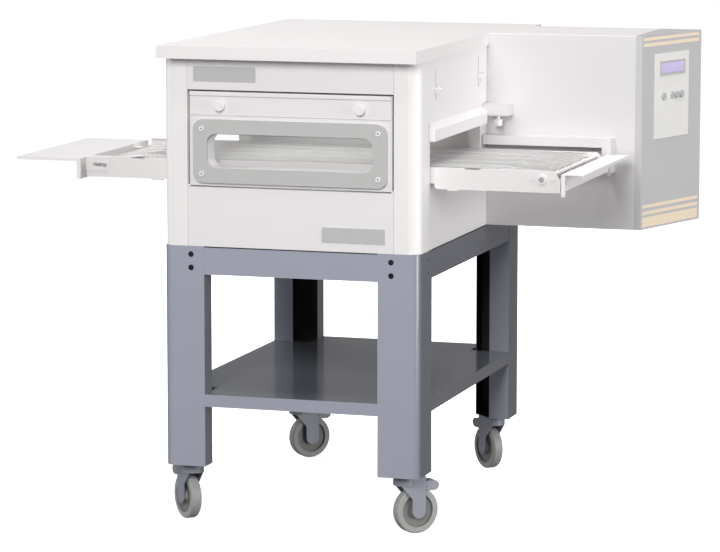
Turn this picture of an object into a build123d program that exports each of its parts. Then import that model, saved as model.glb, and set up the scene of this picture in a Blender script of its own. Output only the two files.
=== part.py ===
from build123d import *
import math
import os

# Conveyor pizza oven on a wheeled stand. Millimetres, +Z up, +X along the belt from the entry
# table to the control end, -Y the side with the inspection door. Origin: middle of the footprint,
# on the floor.

# ---------------------------------------------------------------- driving dimensions
body_width = 598.0
stand_depth = 870.0
entry_reach = 388.0
fascia_reach = 1050.5
cover_front_overhang = 34.0
rear_reach = 882.0

floor_to_leg = 135.0
oven_base_height = 637.0
oven_height = 450.0

leg_width = 96.0
leg_depth = 100.0
leg_sheet = 2.0
leg_corner_radius = 20.0
leg_flange = 48.0
leg_hole_offset = 65.0
leg_hole_drop = 19.0
leg_hole_pitch = 30.0
leg_hole_radius = 6.5
leg_side_hole_radius = 3.0
leg_side_hole_offset = 73.0

rail_height = 61.0
rail_drop = 3.0
rail_flange = 32.0
shelf_height = 301.0
shelf_edge = 28.5

wheel_radius = 52.0
wheel_width = 24.0
castor_trail = 28.0
pedal_tip = 80.0
pedal_half_width = 15.5
castor_angle = 45.0
fork_half_width = 19.0
axle_radius = 5.0
kingpin_radius = 6.0

sheet = 1.5
cover_sheet = 2.0
cover_edge = 28.3
cover_side_overhang = 2.6
post_width = 58.5
post_side = 70.0
post_radius = 28.0
side_recess = 2.0

door_opening_bottom = 770.7
door_opening_top = 988.5
door_gap = 4.5
door_hinge_y = 4.0
door_hinge_rise = 2.5
strip_bottom = 932.0
bezel_width = 452.0
bezel_height = 142.0
bezel_bottom = 780.7
bezel_depth = 8.0
window_width = 387.0
window_height = 77.0
window_bottom = 814.0

belt_centre = 298.3
belt_width = 396.0
frame_width = 416.5
frame_top = 822.0
frame_bottom = 774.0
belt_top = 824.2
belt_thickness = 2.4
shaft_height = 802.5
belt_end_radius = 12.5
drive_reach = 851.0
idler_reach = -175.0
shaft_radius = 6.0
running_gap = 0.06

tunnel_width = 419.4
tunnel_bottom = 783.0
tunnel_top = 912.0
hood_top = 919.0
hood_fold = 905.0
hood_bottom = 880.0
hood_out = 12.5
hood_width = 442.0
stud_height = 991.5
stud_radius = 3.0
slot_bottom = 968.4
slot_top = 1038.0
slot_width = 7.0
stud_spacing = 355.4
stud_centre = 305.4

control_front = 563.0
control_rear = 822.0
control_reach = 951.0
fascia_lip = 15.6

# ---------------------------------------------------------------- placed from the sizes above
pedal_corner = (pedal_tip + pedal_half_width) * math.cos(math.radians(castor_angle))
footprint_rear = stand_depth - leg_depth / 2 + pedal_corner
left = -(entry_reach + fascia_reach) / 2 + entry_reach
right = left + body_width
front = -(cover_front_overhang + footprint_rear) / 2 + cover_front_overhang
rear = front + rear_reach
middle = (left + right) / 2
stand_rear = front + stand_depth
leg_top = oven_base_height
oven_top = oven_base_height + oven_height
cover_under = oven_top - cover_sheet
belt_y = front + belt_centre
rail_top = leg_top - rail_drop
rail_bottom = rail_top - rail_height
frame_front = belt_y - frame_width / 2
frame_rear = belt_y + frame_width / 2
drive_x = left + drive_reach
idler_x = left + idler_reach
belt_inner_radius = belt_end_radius - belt_thickness
control_y = front + control_front
control_back = front + control_rear
control_right = left + control_reach
fascia_x = control_right + fascia_lip
fascia_right = left + fascia_reach


# ---------------------------------------------------------------- shared shapes
def block(x0, x1, y0, y1, z0, z1, mode=Mode.ADD):
    """A square-edged block between six planes."""
    with BuildSketch(Plane.XY.offset(z0), mode=Mode.PRIVATE) as outline:
        with Locations(((x0 + x1) / 2, (y0 + y1) / 2)):
            Rectangle(x1 - x0, y1 - y0)
    extrude(outline.sketch, amount=z1 - z0, mode=mode)


def rod(plane, radius, length, mode=Mode.ADD):
    """A round bar that starts on a plane and follows its normal."""
    with BuildSketch(plane, mode=Mode.PRIVATE) as circle:
        Circle(radius)
    extrude(circle.sketch, amount=length, mode=mode)


def rod_x(x0, x1, y, z, radius, mode=Mode.ADD):
    rod(Plane(origin=(x0, y, z), x_dir=(0, 1, 0), z_dir=(1, 0, 0)), radius, x1 - x0, mode)


def rod_y(x, y0, y1, z, radius, mode=Mode.ADD):
    rod(Plane(origin=(x, y0, z), x_dir=(1, 0, 0), z_dir=(0, 1, 0)), radius, y1 - y0, mode)


def rod_z(x, y, z0, z1, radius, mode=Mode.ADD):
    rod(Plane.XY.offset(z0).shift_origin((x, y, z0)), radius, z1 - z0, mode)


def prism(plane, points, length, mode=Mode.ADD):
    """A closed outline on a plane, given thickness along the plane's normal."""
    with BuildSketch(plane, mode=Mode.PRIVATE) as outline:
        with BuildLine():
            Polyline(*points, close=True)
        make_face()
    extrude(outline.sketch, amount=length, mode=mode)


def soft_slab(plane, width, height, radius, length, mode=Mode.ADD):
    """A slab with rounded corners, centred on a plane."""
    with BuildSketch(plane, mode=Mode.PRIVATE) as outline:
        RectangleRounded(width, height, radius)
    extrude(outline.sketch, amount=length, mode=mode)


def facing_front(x, y, z):
    """A plane whose normal points to the front, x to the right and y up."""
    return Plane(origin=(x, y, z), x_dir=(1, 0, 0), z_dir=(0, -1, 0))


def facing_right(x, y, z):
    """A plane whose normal points to the right, x to the back and y up."""
    return Plane(origin=(x, y, z), x_dir=(0, 1, 0), z_dir=(1, 0, 0))


def facing_back(x, y, z):
    """A plane whose normal points to the back, with x to the left and y up."""
    return Plane(origin=(x, y, z), x_dir=(-1, 0, 0), z_dir=(0, 1, 0))


# ---------------------------------------------------------------- stand
corners = [
    ("front_left", left, front, 1, 1),
    ("front_right", right, front, -1, 1),
    ("rear_left", left, stand_rear, 1, -1),
    ("rear_right", right, stand_rear, -1, -1),
]

foot_sheet = 3.0


def leg_outline(x, y, side, depth, height):
    """The rounded rectangle a leg stands on; x, y is its outer corner."""
    with BuildSketch(Plane.XY.offset(height), mode=Mode.PRIVATE) as outline:
        with Locations((x + side * leg_width / 2, y + depth * leg_depth / 2)):
            Rectangle(leg_width, leg_depth)
        outer = min(outline.vertices(), key=lambda v: math.hypot(v.X - x, v.Y - y))
        fillet(outer, leg_corner_radius)
    return outline.sketch


with BuildPart() as stand_legs:
    for name, x, y, side, depth in corners:
        foot = leg_outline(x, y, side, depth, floor_to_leg)
        extrude(foot, amount=leg_top - floor_to_leg)
        with BuildSketch(Plane.XY.offset(floor_to_leg + foot_sheet), mode=Mode.PRIVATE) as hollow:
            add(leg_outline(x, y, side, depth, 0))
            offset(amount=-leg_sheet, mode=Mode.REPLACE)
        extrude(hollow.sketch, amount=leg_top, mode=Mode.SUBTRACT)
        prism(Plane.XY.offset(floor_to_leg - 1), [
            (x + side * (leg_width + 1), y + depth * leg_flange),
            (x + side * leg_flange, y + depth * (leg_depth + 1)),
            (x + side * (leg_width + 1), y + depth * (leg_depth + 1)),
        ], foot_sheet + 2, Mode.SUBTRACT)
        block(
            min(x + side * leg_flange, x + side * (leg_width + 1)),
            max(x + side * leg_flange, x + side * (leg_width + 1)),
            min(y + depth * leg_flange, y + depth * (leg_depth + 1)),
            max(y + depth * leg_flange, y + depth * (leg_depth + 1)),
            floor_to_leg + foot_sheet,
            leg_top,
            Mode.SUBTRACT,
        )
        for step in range(2):
            hole_z = leg_top - leg_hole_drop - step * leg_hole_pitch
            hole_x = x + side * leg_hole_offset
            hole_y = y + depth * leg_side_hole_offset
            rod_y(hole_x, y - leg_sheet * 1.5, y + leg_sheet * 1.5, hole_z, leg_hole_radius, Mode.SUBTRACT)
            rod_x(x - leg_sheet * 1.5, x + leg_sheet * 1.5, hole_y, hole_z, leg_side_hole_radius,
                  Mode.SUBTRACT)
stand_legs.part.label = "stand_legs"

rail_sheet = 2.0
rail_setback = 1.0


def channel_along_x(x0, x1, y, inward):
    """A rail with its web at y and its flanges turned inward."""
    y_web = y + inward * rail_sheet
    y_lip = y + inward * rail_flange
    block(x0, x1, min(y, y_web), max(y, y_web), rail_bottom, rail_top)
    block(x0, x1, min(y, y_lip), max(y, y_lip), rail_top - rail_sheet, rail_top)
    block(x0, x1, min(y, y_lip), max(y, y_lip), rail_bottom, rail_bottom + rail_sheet)


def channel_along_y(y0, y1, x, inward):
    x_web = x + inward * rail_sheet
    x_lip = x + inward * rail_flange
    block(min(x, x_web), max(x, x_web), y0, y1, rail_bottom, rail_top)
    block(min(x, x_lip), max(x, x_lip), y0, y1, rail_top - rail_sheet, rail_top)
    block(min(x, x_lip), max(x, x_lip), y0, y1, rail_bottom, rail_bottom + rail_sheet)


with BuildPart() as stand_rails:
    channel_along_x(left + leg_width, right - leg_width, front + rail_setback, 1)
    channel_along_x(left + leg_width, right - leg_width, stand_rear - rail_setback, -1)
    channel_along_y(front + leg_depth, stand_rear - leg_depth, left + rail_setback, 1)
    channel_along_y(front + leg_depth, stand_rear - leg_depth, right - rail_setback, -1)
stand_rails.part.label = "stand_rails"

shelf_sheet = 1.5


def cross_outline(inset, height):
    """The shelf's outline: the stand's footprint less the four legs."""
    with BuildSketch(Plane.XY.offset(height), mode=Mode.PRIVATE) as outline:
        with Locations((middle, (front + stand_rear) / 2)):
            Rectangle(body_width - 2 * leg_width - 2 * inset, stand_depth - 2 * inset)
            Rectangle(body_width - 2 * inset, stand_depth - 2 * leg_depth - 2 * inset)
    return outline.sketch


with BuildPart() as shelf_tray:
    extrude(cross_outline(0, shelf_height - shelf_edge), amount=shelf_edge)
    extrude(cross_outline(shelf_sheet, shelf_height - shelf_edge - 1),
            amount=shelf_edge + 1 - shelf_sheet, mode=Mode.SUBTRACT)
shelf_tray.part.label = "shelf_tray"

# ---------------------------------------------------------------- castors
castor_plate = 3.0
castor_plate_size = 72.0
raceway_radius = 22.0
cup_radius = 25.5
cup_bottom = 112.0
fork_deck_top = 130.0
fork_deck = 4.0
fork_sheet = 3.0
kingpin_head = 4.0
kingpin_head_radius = 11.0
fork_leg_half = 17.0
fork_notch_height = 80.0
swivel_gap = 0.4
pedal_pivot = (40.0, 111.0)
pedal_round = 11.0
pedal_centre_height = 107.0
pedal_sheet = 2.5
pedal_pin = 2.5
hub_radius = 13.0
dish_radius = 38.0
dish_depth = 5.0
hub_length = 30.0
tread_round = 4.0


def castor_origin(x, y, side, depth):
    """The swivel axis under a leg's middle."""
    return x + side * leg_width / 2, y + depth * leg_depth / 2


def trail_angle(side, depth):
    """Which way a castor trails: right and back, or left and back."""
    return castor_angle if side * depth < 0 else 180 - castor_angle


def castor_plane(x, y, angle, offset_out=0.0):
    """Upright plane through a castor: x along the trail, y up, normal along the axle."""
    run = (math.cos(math.radians(angle)), math.sin(math.radians(angle)), 0)
    out = (run[1], -run[0], 0)
    start = (x + out[0] * offset_out, y + out[1] * offset_out, 0)
    return Plane(origin=start, x_dir=run, z_dir=out)


def castor_rod(x, y, angle, along, height, radius, half_length, mode=Mode.ADD):
    """A round bar along the axle direction, centred on the castor's middle plane."""
    plane = castor_plane(x, y, angle, -half_length)
    with BuildSketch(plane, mode=Mode.PRIVATE) as circle:
        with Locations((along, height)):
            Circle(radius)
    extrude(circle.sketch, amount=2 * half_length, mode=mode)


with BuildPart() as castor_plates:
    for name, x, y, side, depth in corners:
        cx, cy = castor_origin(x, y, side, depth)
        block(cx - castor_plate_size / 2, cx + castor_plate_size / 2, cy - castor_plate_size / 2,
              cy + castor_plate_size / 2, floor_to_leg - castor_plate, floor_to_leg)
        prism(Plane.XY.offset(floor_to_leg - castor_plate - 1), [
            (x + side * (leg_width + 1), y + depth * leg_flange),
            (x + side * leg_flange, y + depth * (leg_depth + 1)),
            (x + side * (leg_width + 1), y + depth * (leg_depth + 1)),
        ], castor_plate + 2, Mode.SUBTRACT)
        rod_z(cx, cy, fork_deck_top + swivel_gap, floor_to_leg - castor_plate, raceway_radius)
        rod_z(cx, cy, fork_deck_top - fork_deck - swivel_gap, fork_deck_top + swivel_gap, kingpin_radius)
        rod_z(cx, cy, fork_deck_top - fork_deck - swivel_gap - kingpin_head,
              fork_deck_top - fork_deck - swivel_gap, kingpin_head_radius)
castor_plates.part.label = "castor_plates"


def make_fork(x, y, side, depth):
    """A round cup under the plate, two cheeks down to the axle, and the pedal's pin."""
    cx, cy = castor_origin(x, y, side, depth)
    angle = trail_angle(side, depth)
    deck_low = fork_deck_top - fork_deck
    cheek_inner = fork_half_width - fork_sheet
    cheek_start = math.sqrt(cup_radius ** 2 - fork_half_width ** 2)
    cheek = [
        (-cheek_start, fork_deck_top),
        (-cheek_start, cup_bottom),
        (castor_trail - fork_leg_half, fork_notch_height),
        (castor_trail - fork_leg_half, wheel_radius),
        (castor_trail + fork_leg_half, wheel_radius),
        (castor_trail + fork_leg_half, fork_deck_top),
    ]
    rod_z(cx, cy, cup_bottom, fork_deck_top, cup_radius)
    rod_z(cx, cy, cup_bottom - 1, deck_low, cup_radius - fork_sheet, Mode.SUBTRACT)
    for out in (cheek_inner, -fork_half_width):
        prism(castor_plane(cx, cy, angle, out), cheek, fork_sheet)
        with BuildSketch(castor_plane(cx, cy, angle, out), mode=Mode.PRIVATE) as toe:
            with Locations((castor_trail, wheel_radius)):
                Circle(fork_leg_half)
        extrude(toe.sketch, amount=fork_sheet)
    with BuildSketch(castor_plane(cx, cy, angle, -fork_half_width), mode=Mode.PRIVATE) as deck:
        with Locations(((castor_trail + fork_leg_half) / 2, fork_deck_top - fork_deck / 2)):
            Rectangle(castor_trail + fork_leg_half, fork_deck)
    extrude(deck.sketch, amount=2 * fork_half_width)
    inside = [(cheek_start, deck_low), (cheek_start, cup_bottom - 1), (cup_radius + 1, cup_bottom - 1),
              (cup_radius + 1, deck_low)]
    prism(castor_plane(cx, cy, angle, -cheek_inner), inside, 2 * cheek_inner, Mode.SUBTRACT)
    rod_z(cx, cy, deck_low - 1, fork_deck_top + 1, kingpin_radius + running_gap, Mode.SUBTRACT)
    castor_rod(cx, cy, angle, castor_trail, wheel_radius, axle_radius, fork_half_width)
    castor_rod(cx, cy, angle, pedal_pivot[0], pedal_pivot[1], pedal_pin, fork_half_width)


def make_wheel(x, y, side, depth):
    """Tyre and dished centre in one casting, on a long hub."""
    cx, cy = castor_origin(x, y, side, depth)
    angle = trail_angle(side, depth)
    castor_rod(cx, cy, angle, castor_trail, wheel_radius, wheel_radius, wheel_width / 2)
    rims = [e for e in edges().filter_by(GeomType.CIRCLE) if abs(e.radius - wheel_radius) < 0.01]
    fillet(rims, tread_round)
    for start in (-wheel_width / 2 - 1, wheel_width / 2 - dish_depth):
        with BuildSketch(castor_plane(cx, cy, angle, start), mode=Mode.PRIVATE) as dish:
            with Locations((castor_trail, wheel_radius)):
                Circle(dish_radius)
                Circle(hub_radius, mode=Mode.SUBTRACT)
        extrude(dish.sketch, amount=dish_depth + 1, mode=Mode.SUBTRACT)
    castor_rod(cx, cy, angle, castor_trail, wheel_radius, hub_radius, hub_length / 2)
    castor_rod(cx, cy, angle, castor_trail, wheel_radius, axle_radius + running_gap, hub_length,
               Mode.SUBTRACT)


def make_pedal(x, y, side, depth):
    """Foot lever: a round-nosed channel that straddles the wheel, on a tube around the pin."""
    cx, cy = castor_origin(x, y, side, depth)
    angle = trail_angle(side, depth)
    nose = pedal_tip - pedal_round
    root = pedal_pivot[0] + pedal_round - 2
    with BuildSketch(castor_plane(cx, cy, angle, -pedal_half_width), mode=Mode.PRIVATE) as outline:
        with Locations((nose, pedal_centre_height)):
            Circle(pedal_round)
        with Locations(((root + nose) / 2, pedal_centre_height)):
            Rectangle(nose - root, 2 * pedal_round)
        with Locations(((pedal_pivot[0] + root) / 2, pedal_pivot[1])):
            Rectangle(root - pedal_pivot[0], 2 * (pedal_pin + 2.5))
        with Locations(pedal_pivot):
            Circle(pedal_pin + 2.5)
    extrude(outline.sketch, amount=2 * pedal_half_width)
    with BuildSketch(castor_plane(cx, cy, angle, pedal_sheet - pedal_half_width), mode=Mode.PRIVATE) as hollow:
        with Locations((nose, pedal_centre_height)):
            Circle(pedal_round - pedal_sheet)
        with Locations(((root + nose) / 2, pedal_centre_height - pedal_sheet)):
            Rectangle(nose - root + 2, 2 * pedal_round)
        with Locations((nose, pedal_centre_height - pedal_round)):
            Rectangle(2 * (pedal_round - pedal_sheet), 2 * pedal_round)
        with Locations((pedal_pivot[0], wheel_radius)):
            Rectangle(2 * pedal_round, 2 * (pedal_pivot[1] - pedal_pin - 2.5 - wheel_radius))
    extrude(hollow.sketch, amount=2 * (pedal_half_width - pedal_sheet), mode=Mode.SUBTRACT)
    castor_rod(cx, cy, angle, pedal_pivot[0], pedal_pivot[1], pedal_pin + running_gap,
               pedal_half_width + 1, Mode.SUBTRACT)


with BuildPart() as castor_fork_front_left:
    make_fork(*corners[0][1:])
castor_fork_front_left.part.label = "castor_fork_front_left"

with BuildPart() as castor_fork_front_right:
    make_fork(*corners[1][1:])
castor_fork_front_right.part.label = "castor_fork_front_right"

with BuildPart() as castor_fork_rear_left:
    make_fork(*corners[2][1:])
castor_fork_rear_left.part.label = "castor_fork_rear_left"

with BuildPart() as castor_fork_rear_right:
    make_fork(*corners[3][1:])
castor_fork_rear_right.part.label = "castor_fork_rear_right"

with BuildPart() as castor_wheel_front_left:
    make_wheel(*corners[0][1:])
castor_wheel_front_left.part.label = "castor_wheel_front_left"

with BuildPart() as castor_wheel_front_right:
    make_wheel(*corners[1][1:])
castor_wheel_front_right.part.label = "castor_wheel_front_right"

with BuildPart() as castor_wheel_rear_left:
    make_wheel(*corners[2][1:])
castor_wheel_rear_left.part.label = "castor_wheel_rear_left"

with BuildPart() as castor_wheel_rear_right:
    make_wheel(*corners[3][1:])
castor_wheel_rear_right.part.label = "castor_wheel_rear_right"

with BuildPart() as brake_pedal_front_left:
    make_pedal(*corners[0][1:])
brake_pedal_front_left.part.label = "brake_pedal_front_left"

with BuildPart() as brake_pedal_front_right:
    make_pedal(*corners[1][1:])
brake_pedal_front_right.part.label = "brake_pedal_front_right"

with BuildPart() as brake_pedal_rear_left:
    make_pedal(*corners[2][1:])
brake_pedal_rear_left.part.label = "brake_pedal_rear_left"

with BuildPart() as brake_pedal_rear_right:
    make_pedal(*corners[3][1:])
brake_pedal_rear_right.part.label = "brake_pedal_rear_right"

# ---------------------------------------------------------------- oven casing
rear_box_reach = 643.0
cover_left = left - cover_side_overhang
cover_right = right + cover_side_overhang
cover_front = front - cover_front_overhang
rear_box_right = left + rear_box_reach

with BuildPart() as top_cover:
    plan = [
        (cover_left, cover_front),
        (cover_right, cover_front),
        (cover_right, control_y),
        (control_right, control_y),
        (control_right, control_back),
        (rear_box_right + sheet, control_back),
        (rear_box_right + sheet, rear),
        (cover_left, rear),
    ]
    prism(Plane.XY.offset(cover_under), plan, cover_sheet)
    skirt_low = oven_top - cover_edge
    block(cover_left, cover_right, cover_front, cover_front + sheet, skirt_low, cover_under)
    block(cover_left, cover_left + sheet, cover_front, rear, skirt_low, cover_under)
    block(cover_right - sheet, cover_right, cover_front, control_y - 0.3, skirt_low, cover_under)
    block(cover_left, rear_box_right + sheet, rear - sheet, rear, skirt_low, cover_under)
    block(rear_box_right, rear_box_right + sheet, control_back + 0.3, rear, skirt_low, cover_under)
top_cover.part.label = "top_cover"

panel_seam = 0.5
panel_return = 13.0
panel_left = left + post_width + panel_seam
panel_right = right - post_width - panel_seam

with BuildPart() as front_panels:
    block(panel_left, panel_right, front, front + sheet, door_opening_top, cover_under)
    block(panel_left, panel_right, front, front + sheet + panel_return, door_opening_top,
          door_opening_top + sheet)
    block(panel_left, panel_right, front, front + sheet, oven_base_height, door_opening_bottom)
    block(panel_left, panel_right, front, front + sheet + panel_return, door_opening_bottom - sheet,
          door_opening_bottom)
front_panels.part.label = "front_panels"

hinge_pin_radius = 2.0
door_hinge_z = door_opening_bottom + door_hinge_rise
door_axis_y = front + door_hinge_y


def post(side, x_outer):
    """A corner post wrapped round a front corner, with a return beside the door."""
    x_inner = x_outer + side * post_width
    with BuildSketch(Plane.XY.offset(oven_base_height), mode=Mode.PRIVATE) as section:
        with BuildLine():
            bend = (x_outer + side * post_radius, front + post_radius)
            elbow = post_radius * (1 - math.cos(math.radians(45)))
            Line((x_inner, front), (bend[0], front))
            ThreePointArc((bend[0], front), (x_outer + side * elbow, front + elbow),
                          (x_outer, bend[1]))
            Line((x_outer, bend[1]), (x_outer, front + post_side))
            Line((x_outer, front + post_side), (x_outer + side * sheet, front + post_side))
            Line((x_outer + side * sheet, front + post_side), (x_outer + side * sheet, bend[1]))
            inner_elbow = elbow + sheet * math.cos(math.radians(45))
            ThreePointArc((x_outer + side * sheet, bend[1]),
                          (x_outer + side * inner_elbow, front + inner_elbow),
                          (bend[0], front + sheet))
            Line((bend[0], front + sheet), (x_inner, front + sheet))
            Line((x_inner, front + sheet), (x_inner, front))
        make_face()
    extrude(section.sketch, amount=cover_under - oven_base_height)
    block(min(x_inner, x_inner - side * sheet), max(x_inner, x_inner - side * sheet), front,
          front + sheet + panel_return, door_opening_bottom + 0.2, door_opening_top - 0.2)
    rod_x(min(x_inner, x_inner - side * 3 * sheet), max(x_inner, x_inner - side * 3 * sheet) + 0.1,
          door_axis_y, door_hinge_z, hinge_pin_radius + running_gap, Mode.SUBTRACT)


with BuildPart() as corner_posts:
    post(1, left)
    post(-1, right)
corner_posts.part.label = "corner_posts"

tunnel_front = belt_y - tunnel_width / 2
tunnel_rear = belt_y + tunnel_width / 2
stud_ys = [front + stud_centre - stud_spacing / 2, front + stud_centre + stud_spacing / 2]
stud_length = 16.0
side_top = cover_under

with BuildPart() as side_panels:
    block(left + side_recess, left + side_recess + sheet, front + post_side, control_back, oven_base_height,
          side_top)
    block(right - side_recess - sheet, right - side_recess, front + post_side, control_back, oven_base_height,
          side_top)
    for x_side in (left + side_recess, right - side_recess - sheet):
        block(x_side - 1, x_side + sheet + 1, tunnel_front, tunnel_rear, tunnel_bottom, tunnel_top,
              Mode.SUBTRACT)
    for stud_y in stud_ys:
        rod_x(left + side_recess - stud_length, left + side_recess, stud_y, stud_height, stud_radius)
        rod_x(right - side_recess, right - side_recess + stud_length, stud_y, stud_height, stud_radius)
side_panels.part.label = "side_panels"

louvre_rows = 8
louvre_columns = 3
louvre_length = 120.0
louvre_height = 4.0

with BuildPart() as back_panel:
    block(left, rear_box_right, control_back, rear - sheet, oven_base_height, cover_under)
    block(left + sheet, rear_box_right - sheet, control_back - 1, rear - 2 * sheet, oven_base_height + sheet,
          cover_under + 1, Mode.SUBTRACT)
    louvre_plane = facing_back((left + rear_box_right) / 2, rear - 3 * sheet, (oven_base_height + oven_top) / 2)
    with BuildSketch(louvre_plane, mode=Mode.PRIVATE) as louvres:
        with GridLocations(louvre_length * 1.4, louvre_height * 5, louvre_columns, louvre_rows):
            SlotOverall(louvre_length, louvre_height)
    extrude(louvres.sketch, amount=4 * sheet, mode=Mode.SUBTRACT)
back_panel.part.label = "back_panel"

with BuildPart() as base_pan:
    inset = sheet + 0.2
    with BuildSketch(Plane.XY.offset(oven_base_height)) as floor_outline:
        x0 = left + side_recess + inset
        x1 = right - side_recess - inset
        with Locations(((x0 + x1) / 2, (front + inset + control_back - inset) / 2)):
            Rectangle(x1 - x0, control_back - front - 2 * inset)
        fillet(floor_outline.vertices().sort_by(Axis.Y)[:2], post_radius)
    extrude(amount=cover_sheet)
base_pan.part.label = "base_pan"

# ---------------------------------------------------------------- heated chamber
liner_wall = 27.0
liner_front = front + 46.0
liner_rear = front + 534.0
liner_bottom = 700.0
liner_top = 1012.0
liner_left = left + liner_wall
liner_right = right - liner_wall
fan_z = 945.0
fan_inlet_radius = 62.0
throat_margin = 0.8
element_radius = 4.0
element_heights = [720.0, 742.0, 960.0, 982.0]
element_y = front + 514.0
element_left = left + 60.0
element_right = right - 60.0

with BuildPart() as chamber_liner:
    block(liner_left, liner_right, liner_front, liner_rear, liner_bottom, liner_top)
    throat_left = left + post_width + throat_margin
    throat_right = right - post_width - throat_margin
    throat_low = door_opening_bottom - sheet - throat_margin
    throat_high = door_opening_top + sheet + throat_margin
    block(throat_left, throat_right, front + sheet + panel_return + 0.5, liner_front, throat_low, throat_high)
    block(left + side_recess + sheet, right - side_recess - sheet, tunnel_front - sheet, tunnel_rear + sheet,
          tunnel_bottom - sheet, tunnel_top + sheet)
    block(liner_left + sheet, liner_right - sheet, liner_front + sheet, liner_rear - sheet,
          liner_bottom + sheet, liner_top - sheet, Mode.SUBTRACT)
    block(throat_left + sheet, throat_right - sheet, front, liner_front + 2 * sheet, throat_low + sheet,
          throat_high - sheet, Mode.SUBTRACT)
    block(left, right, tunnel_front, tunnel_rear, tunnel_bottom, tunnel_top, Mode.SUBTRACT)
    rod_y(middle, liner_rear - 2 * sheet, liner_rear + sheet, fan_z, fan_inlet_radius, Mode.SUBTRACT)
    for element_z in element_heights:
        for element_x in (element_left, element_right):
            rod_y(element_x, liner_rear - 2 * sheet, liner_rear + sheet, element_z, element_radius + 0.5,
                  Mode.SUBTRACT)
chamber_liner.part.label = "chamber_liner"

duct_left = left + 62.0
duct_right = right - 62.0
duct_front = front + 70.0
duct_rear = front + 500.0
upper_duct_bottom = 925.0
upper_duct_top = 990.0
lower_duct_bottom = 706.0
lower_duct_top = 764.0
nozzle_radius = 7.0
nozzle_columns = 10
nozzle_rows = 7

with BuildPart() as jet_ducts:
    block(duct_left, duct_right, duct_front, duct_rear, upper_duct_bottom, upper_duct_top)
    block(duct_left, duct_right, duct_front, duct_rear, lower_duct_bottom, lower_duct_top)
    block(duct_left + sheet, duct_right - sheet, duct_front + sheet, duct_rear + 1,
          upper_duct_bottom + sheet, upper_duct_top - sheet, Mode.SUBTRACT)
    block(duct_left + sheet, duct_right - sheet, duct_front + sheet, duct_rear + 1,
          lower_duct_bottom + sheet, lower_duct_top - sheet, Mode.SUBTRACT)
    for low in (upper_duct_bottom - 1, lower_duct_top - sheet - 1):
        with BuildSketch(Plane.XY.offset(low), mode=Mode.PRIVATE) as nozzles:
            with Locations(((duct_left + duct_right) / 2, (duct_front + duct_rear) / 2)):
                with GridLocations(44, 54, nozzle_columns, nozzle_rows):
                    Circle(nozzle_radius)
        extrude(nozzles.sketch, amount=sheet + 2, mode=Mode.SUBTRACT)
    for hanger_x in (duct_left, duct_right - 20):
        block(hanger_x, hanger_x + 20, duct_front, duct_front + 20, upper_duct_top, liner_top - sheet)
        block(hanger_x, hanger_x + 20, duct_rear - 20, duct_rear, upper_duct_top, liner_top - sheet)
        block(hanger_x, hanger_x + 20, duct_front, duct_front + 20, liner_bottom + sheet, lower_duct_bottom)
        block(hanger_x, hanger_x + 20, duct_rear - 20, duct_rear, liner_bottom + sheet, lower_duct_bottom)
jet_ducts.part.label = "jet_ducts"

element_stub = front + 548.0

with BuildPart() as heating_elements:
    for element_z in element_heights:
        rod_x(element_left - element_radius, element_right + element_radius, element_y, element_z,
              element_radius)
        for element_x in (element_left, element_right):
            rod_y(element_x, element_y, element_stub, element_z, element_radius)
heating_elements.part.label = "heating_elements"

impeller_radius = 78.0
impeller_front = front + 545.0
impeller_back = front + 585.0
impeller_plate = 2.0
blade_count = 12
motor_plate_y = front + 604.0
motor_plate = 3.0
motor_radius = 58.0
motor_length = 120.0
fan_shaft_end = front + 660.0

with BuildPart() as circulation_fan:
    rod_y(middle, impeller_back - impeller_plate, impeller_back, fan_z, impeller_radius)
    rod_y(middle, impeller_front, impeller_back, fan_z, shaft_radius + 8)
    rod_y(middle, impeller_front, fan_shaft_end, fan_z, shaft_radius)
    for index in range(blade_count):
        turn = math.radians(360 / blade_count * index)
        blade_plane = Plane(
            origin=(middle + math.cos(turn) * (impeller_radius - 14), impeller_front,
                    fan_z + math.sin(turn) * (impeller_radius - 14)),
            x_dir=(math.cos(turn + 0.6), 0, math.sin(turn + 0.6)),
            z_dir=(0, 1, 0),
        )
        with BuildSketch(blade_plane, mode=Mode.PRIVATE) as blade:
            Rectangle(24, 2)
        extrude(blade.sketch, amount=impeller_back - impeller_front)
circulation_fan.part.label = "circulation_fan"

motor_plate_half = 92.0

with BuildPart() as fan_motor:
    block(middle - motor_plate_half, middle + motor_plate_half, motor_plate_y, motor_plate_y + motor_plate,
          fan_z - motor_plate_half, cover_under - 8)
    for post_x in (middle - motor_plate_half + 8, middle + motor_plate_half - 8):
        for post_z in (fan_z - motor_plate_half + 8, liner_top - 12):
            rod_y(post_x, liner_rear, motor_plate_y, post_z, 5)
    rod_y(middle, motor_plate_y + motor_plate, motor_plate_y + motor_plate + motor_length, fan_z, motor_radius)
    rod_y(middle, motor_plate_y - 1, fan_shaft_end + 2, fan_z, shaft_radius + running_gap, Mode.SUBTRACT)
fan_motor.part.label = "fan_motor"

# ---------------------------------------------------------------- control end
shaft_hole = 10.0

with BuildPart() as control_box:
    block(right - side_recess + 0.3, control_right, control_y, control_back, oven_base_height, cover_under)
    block(right - side_recess - 5, control_right - sheet, control_y + sheet, control_back - sheet,
          oven_base_height + sheet, cover_under + 1, Mode.SUBTRACT)
    rod_y(drive_x, control_y - 1, control_y + sheet + 1, shaft_height, shaft_hole, Mode.SUBTRACT)
control_box.part.label = "control_box"

guard_out = 43.0
guard_front = control_y - guard_out
guard_left = right + 0.8
guard_right = left + 904.0
guard_top = 852.0
guard_bar_low = 831.0
guard_leg = 21.0
guard_low = 772.0

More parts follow.
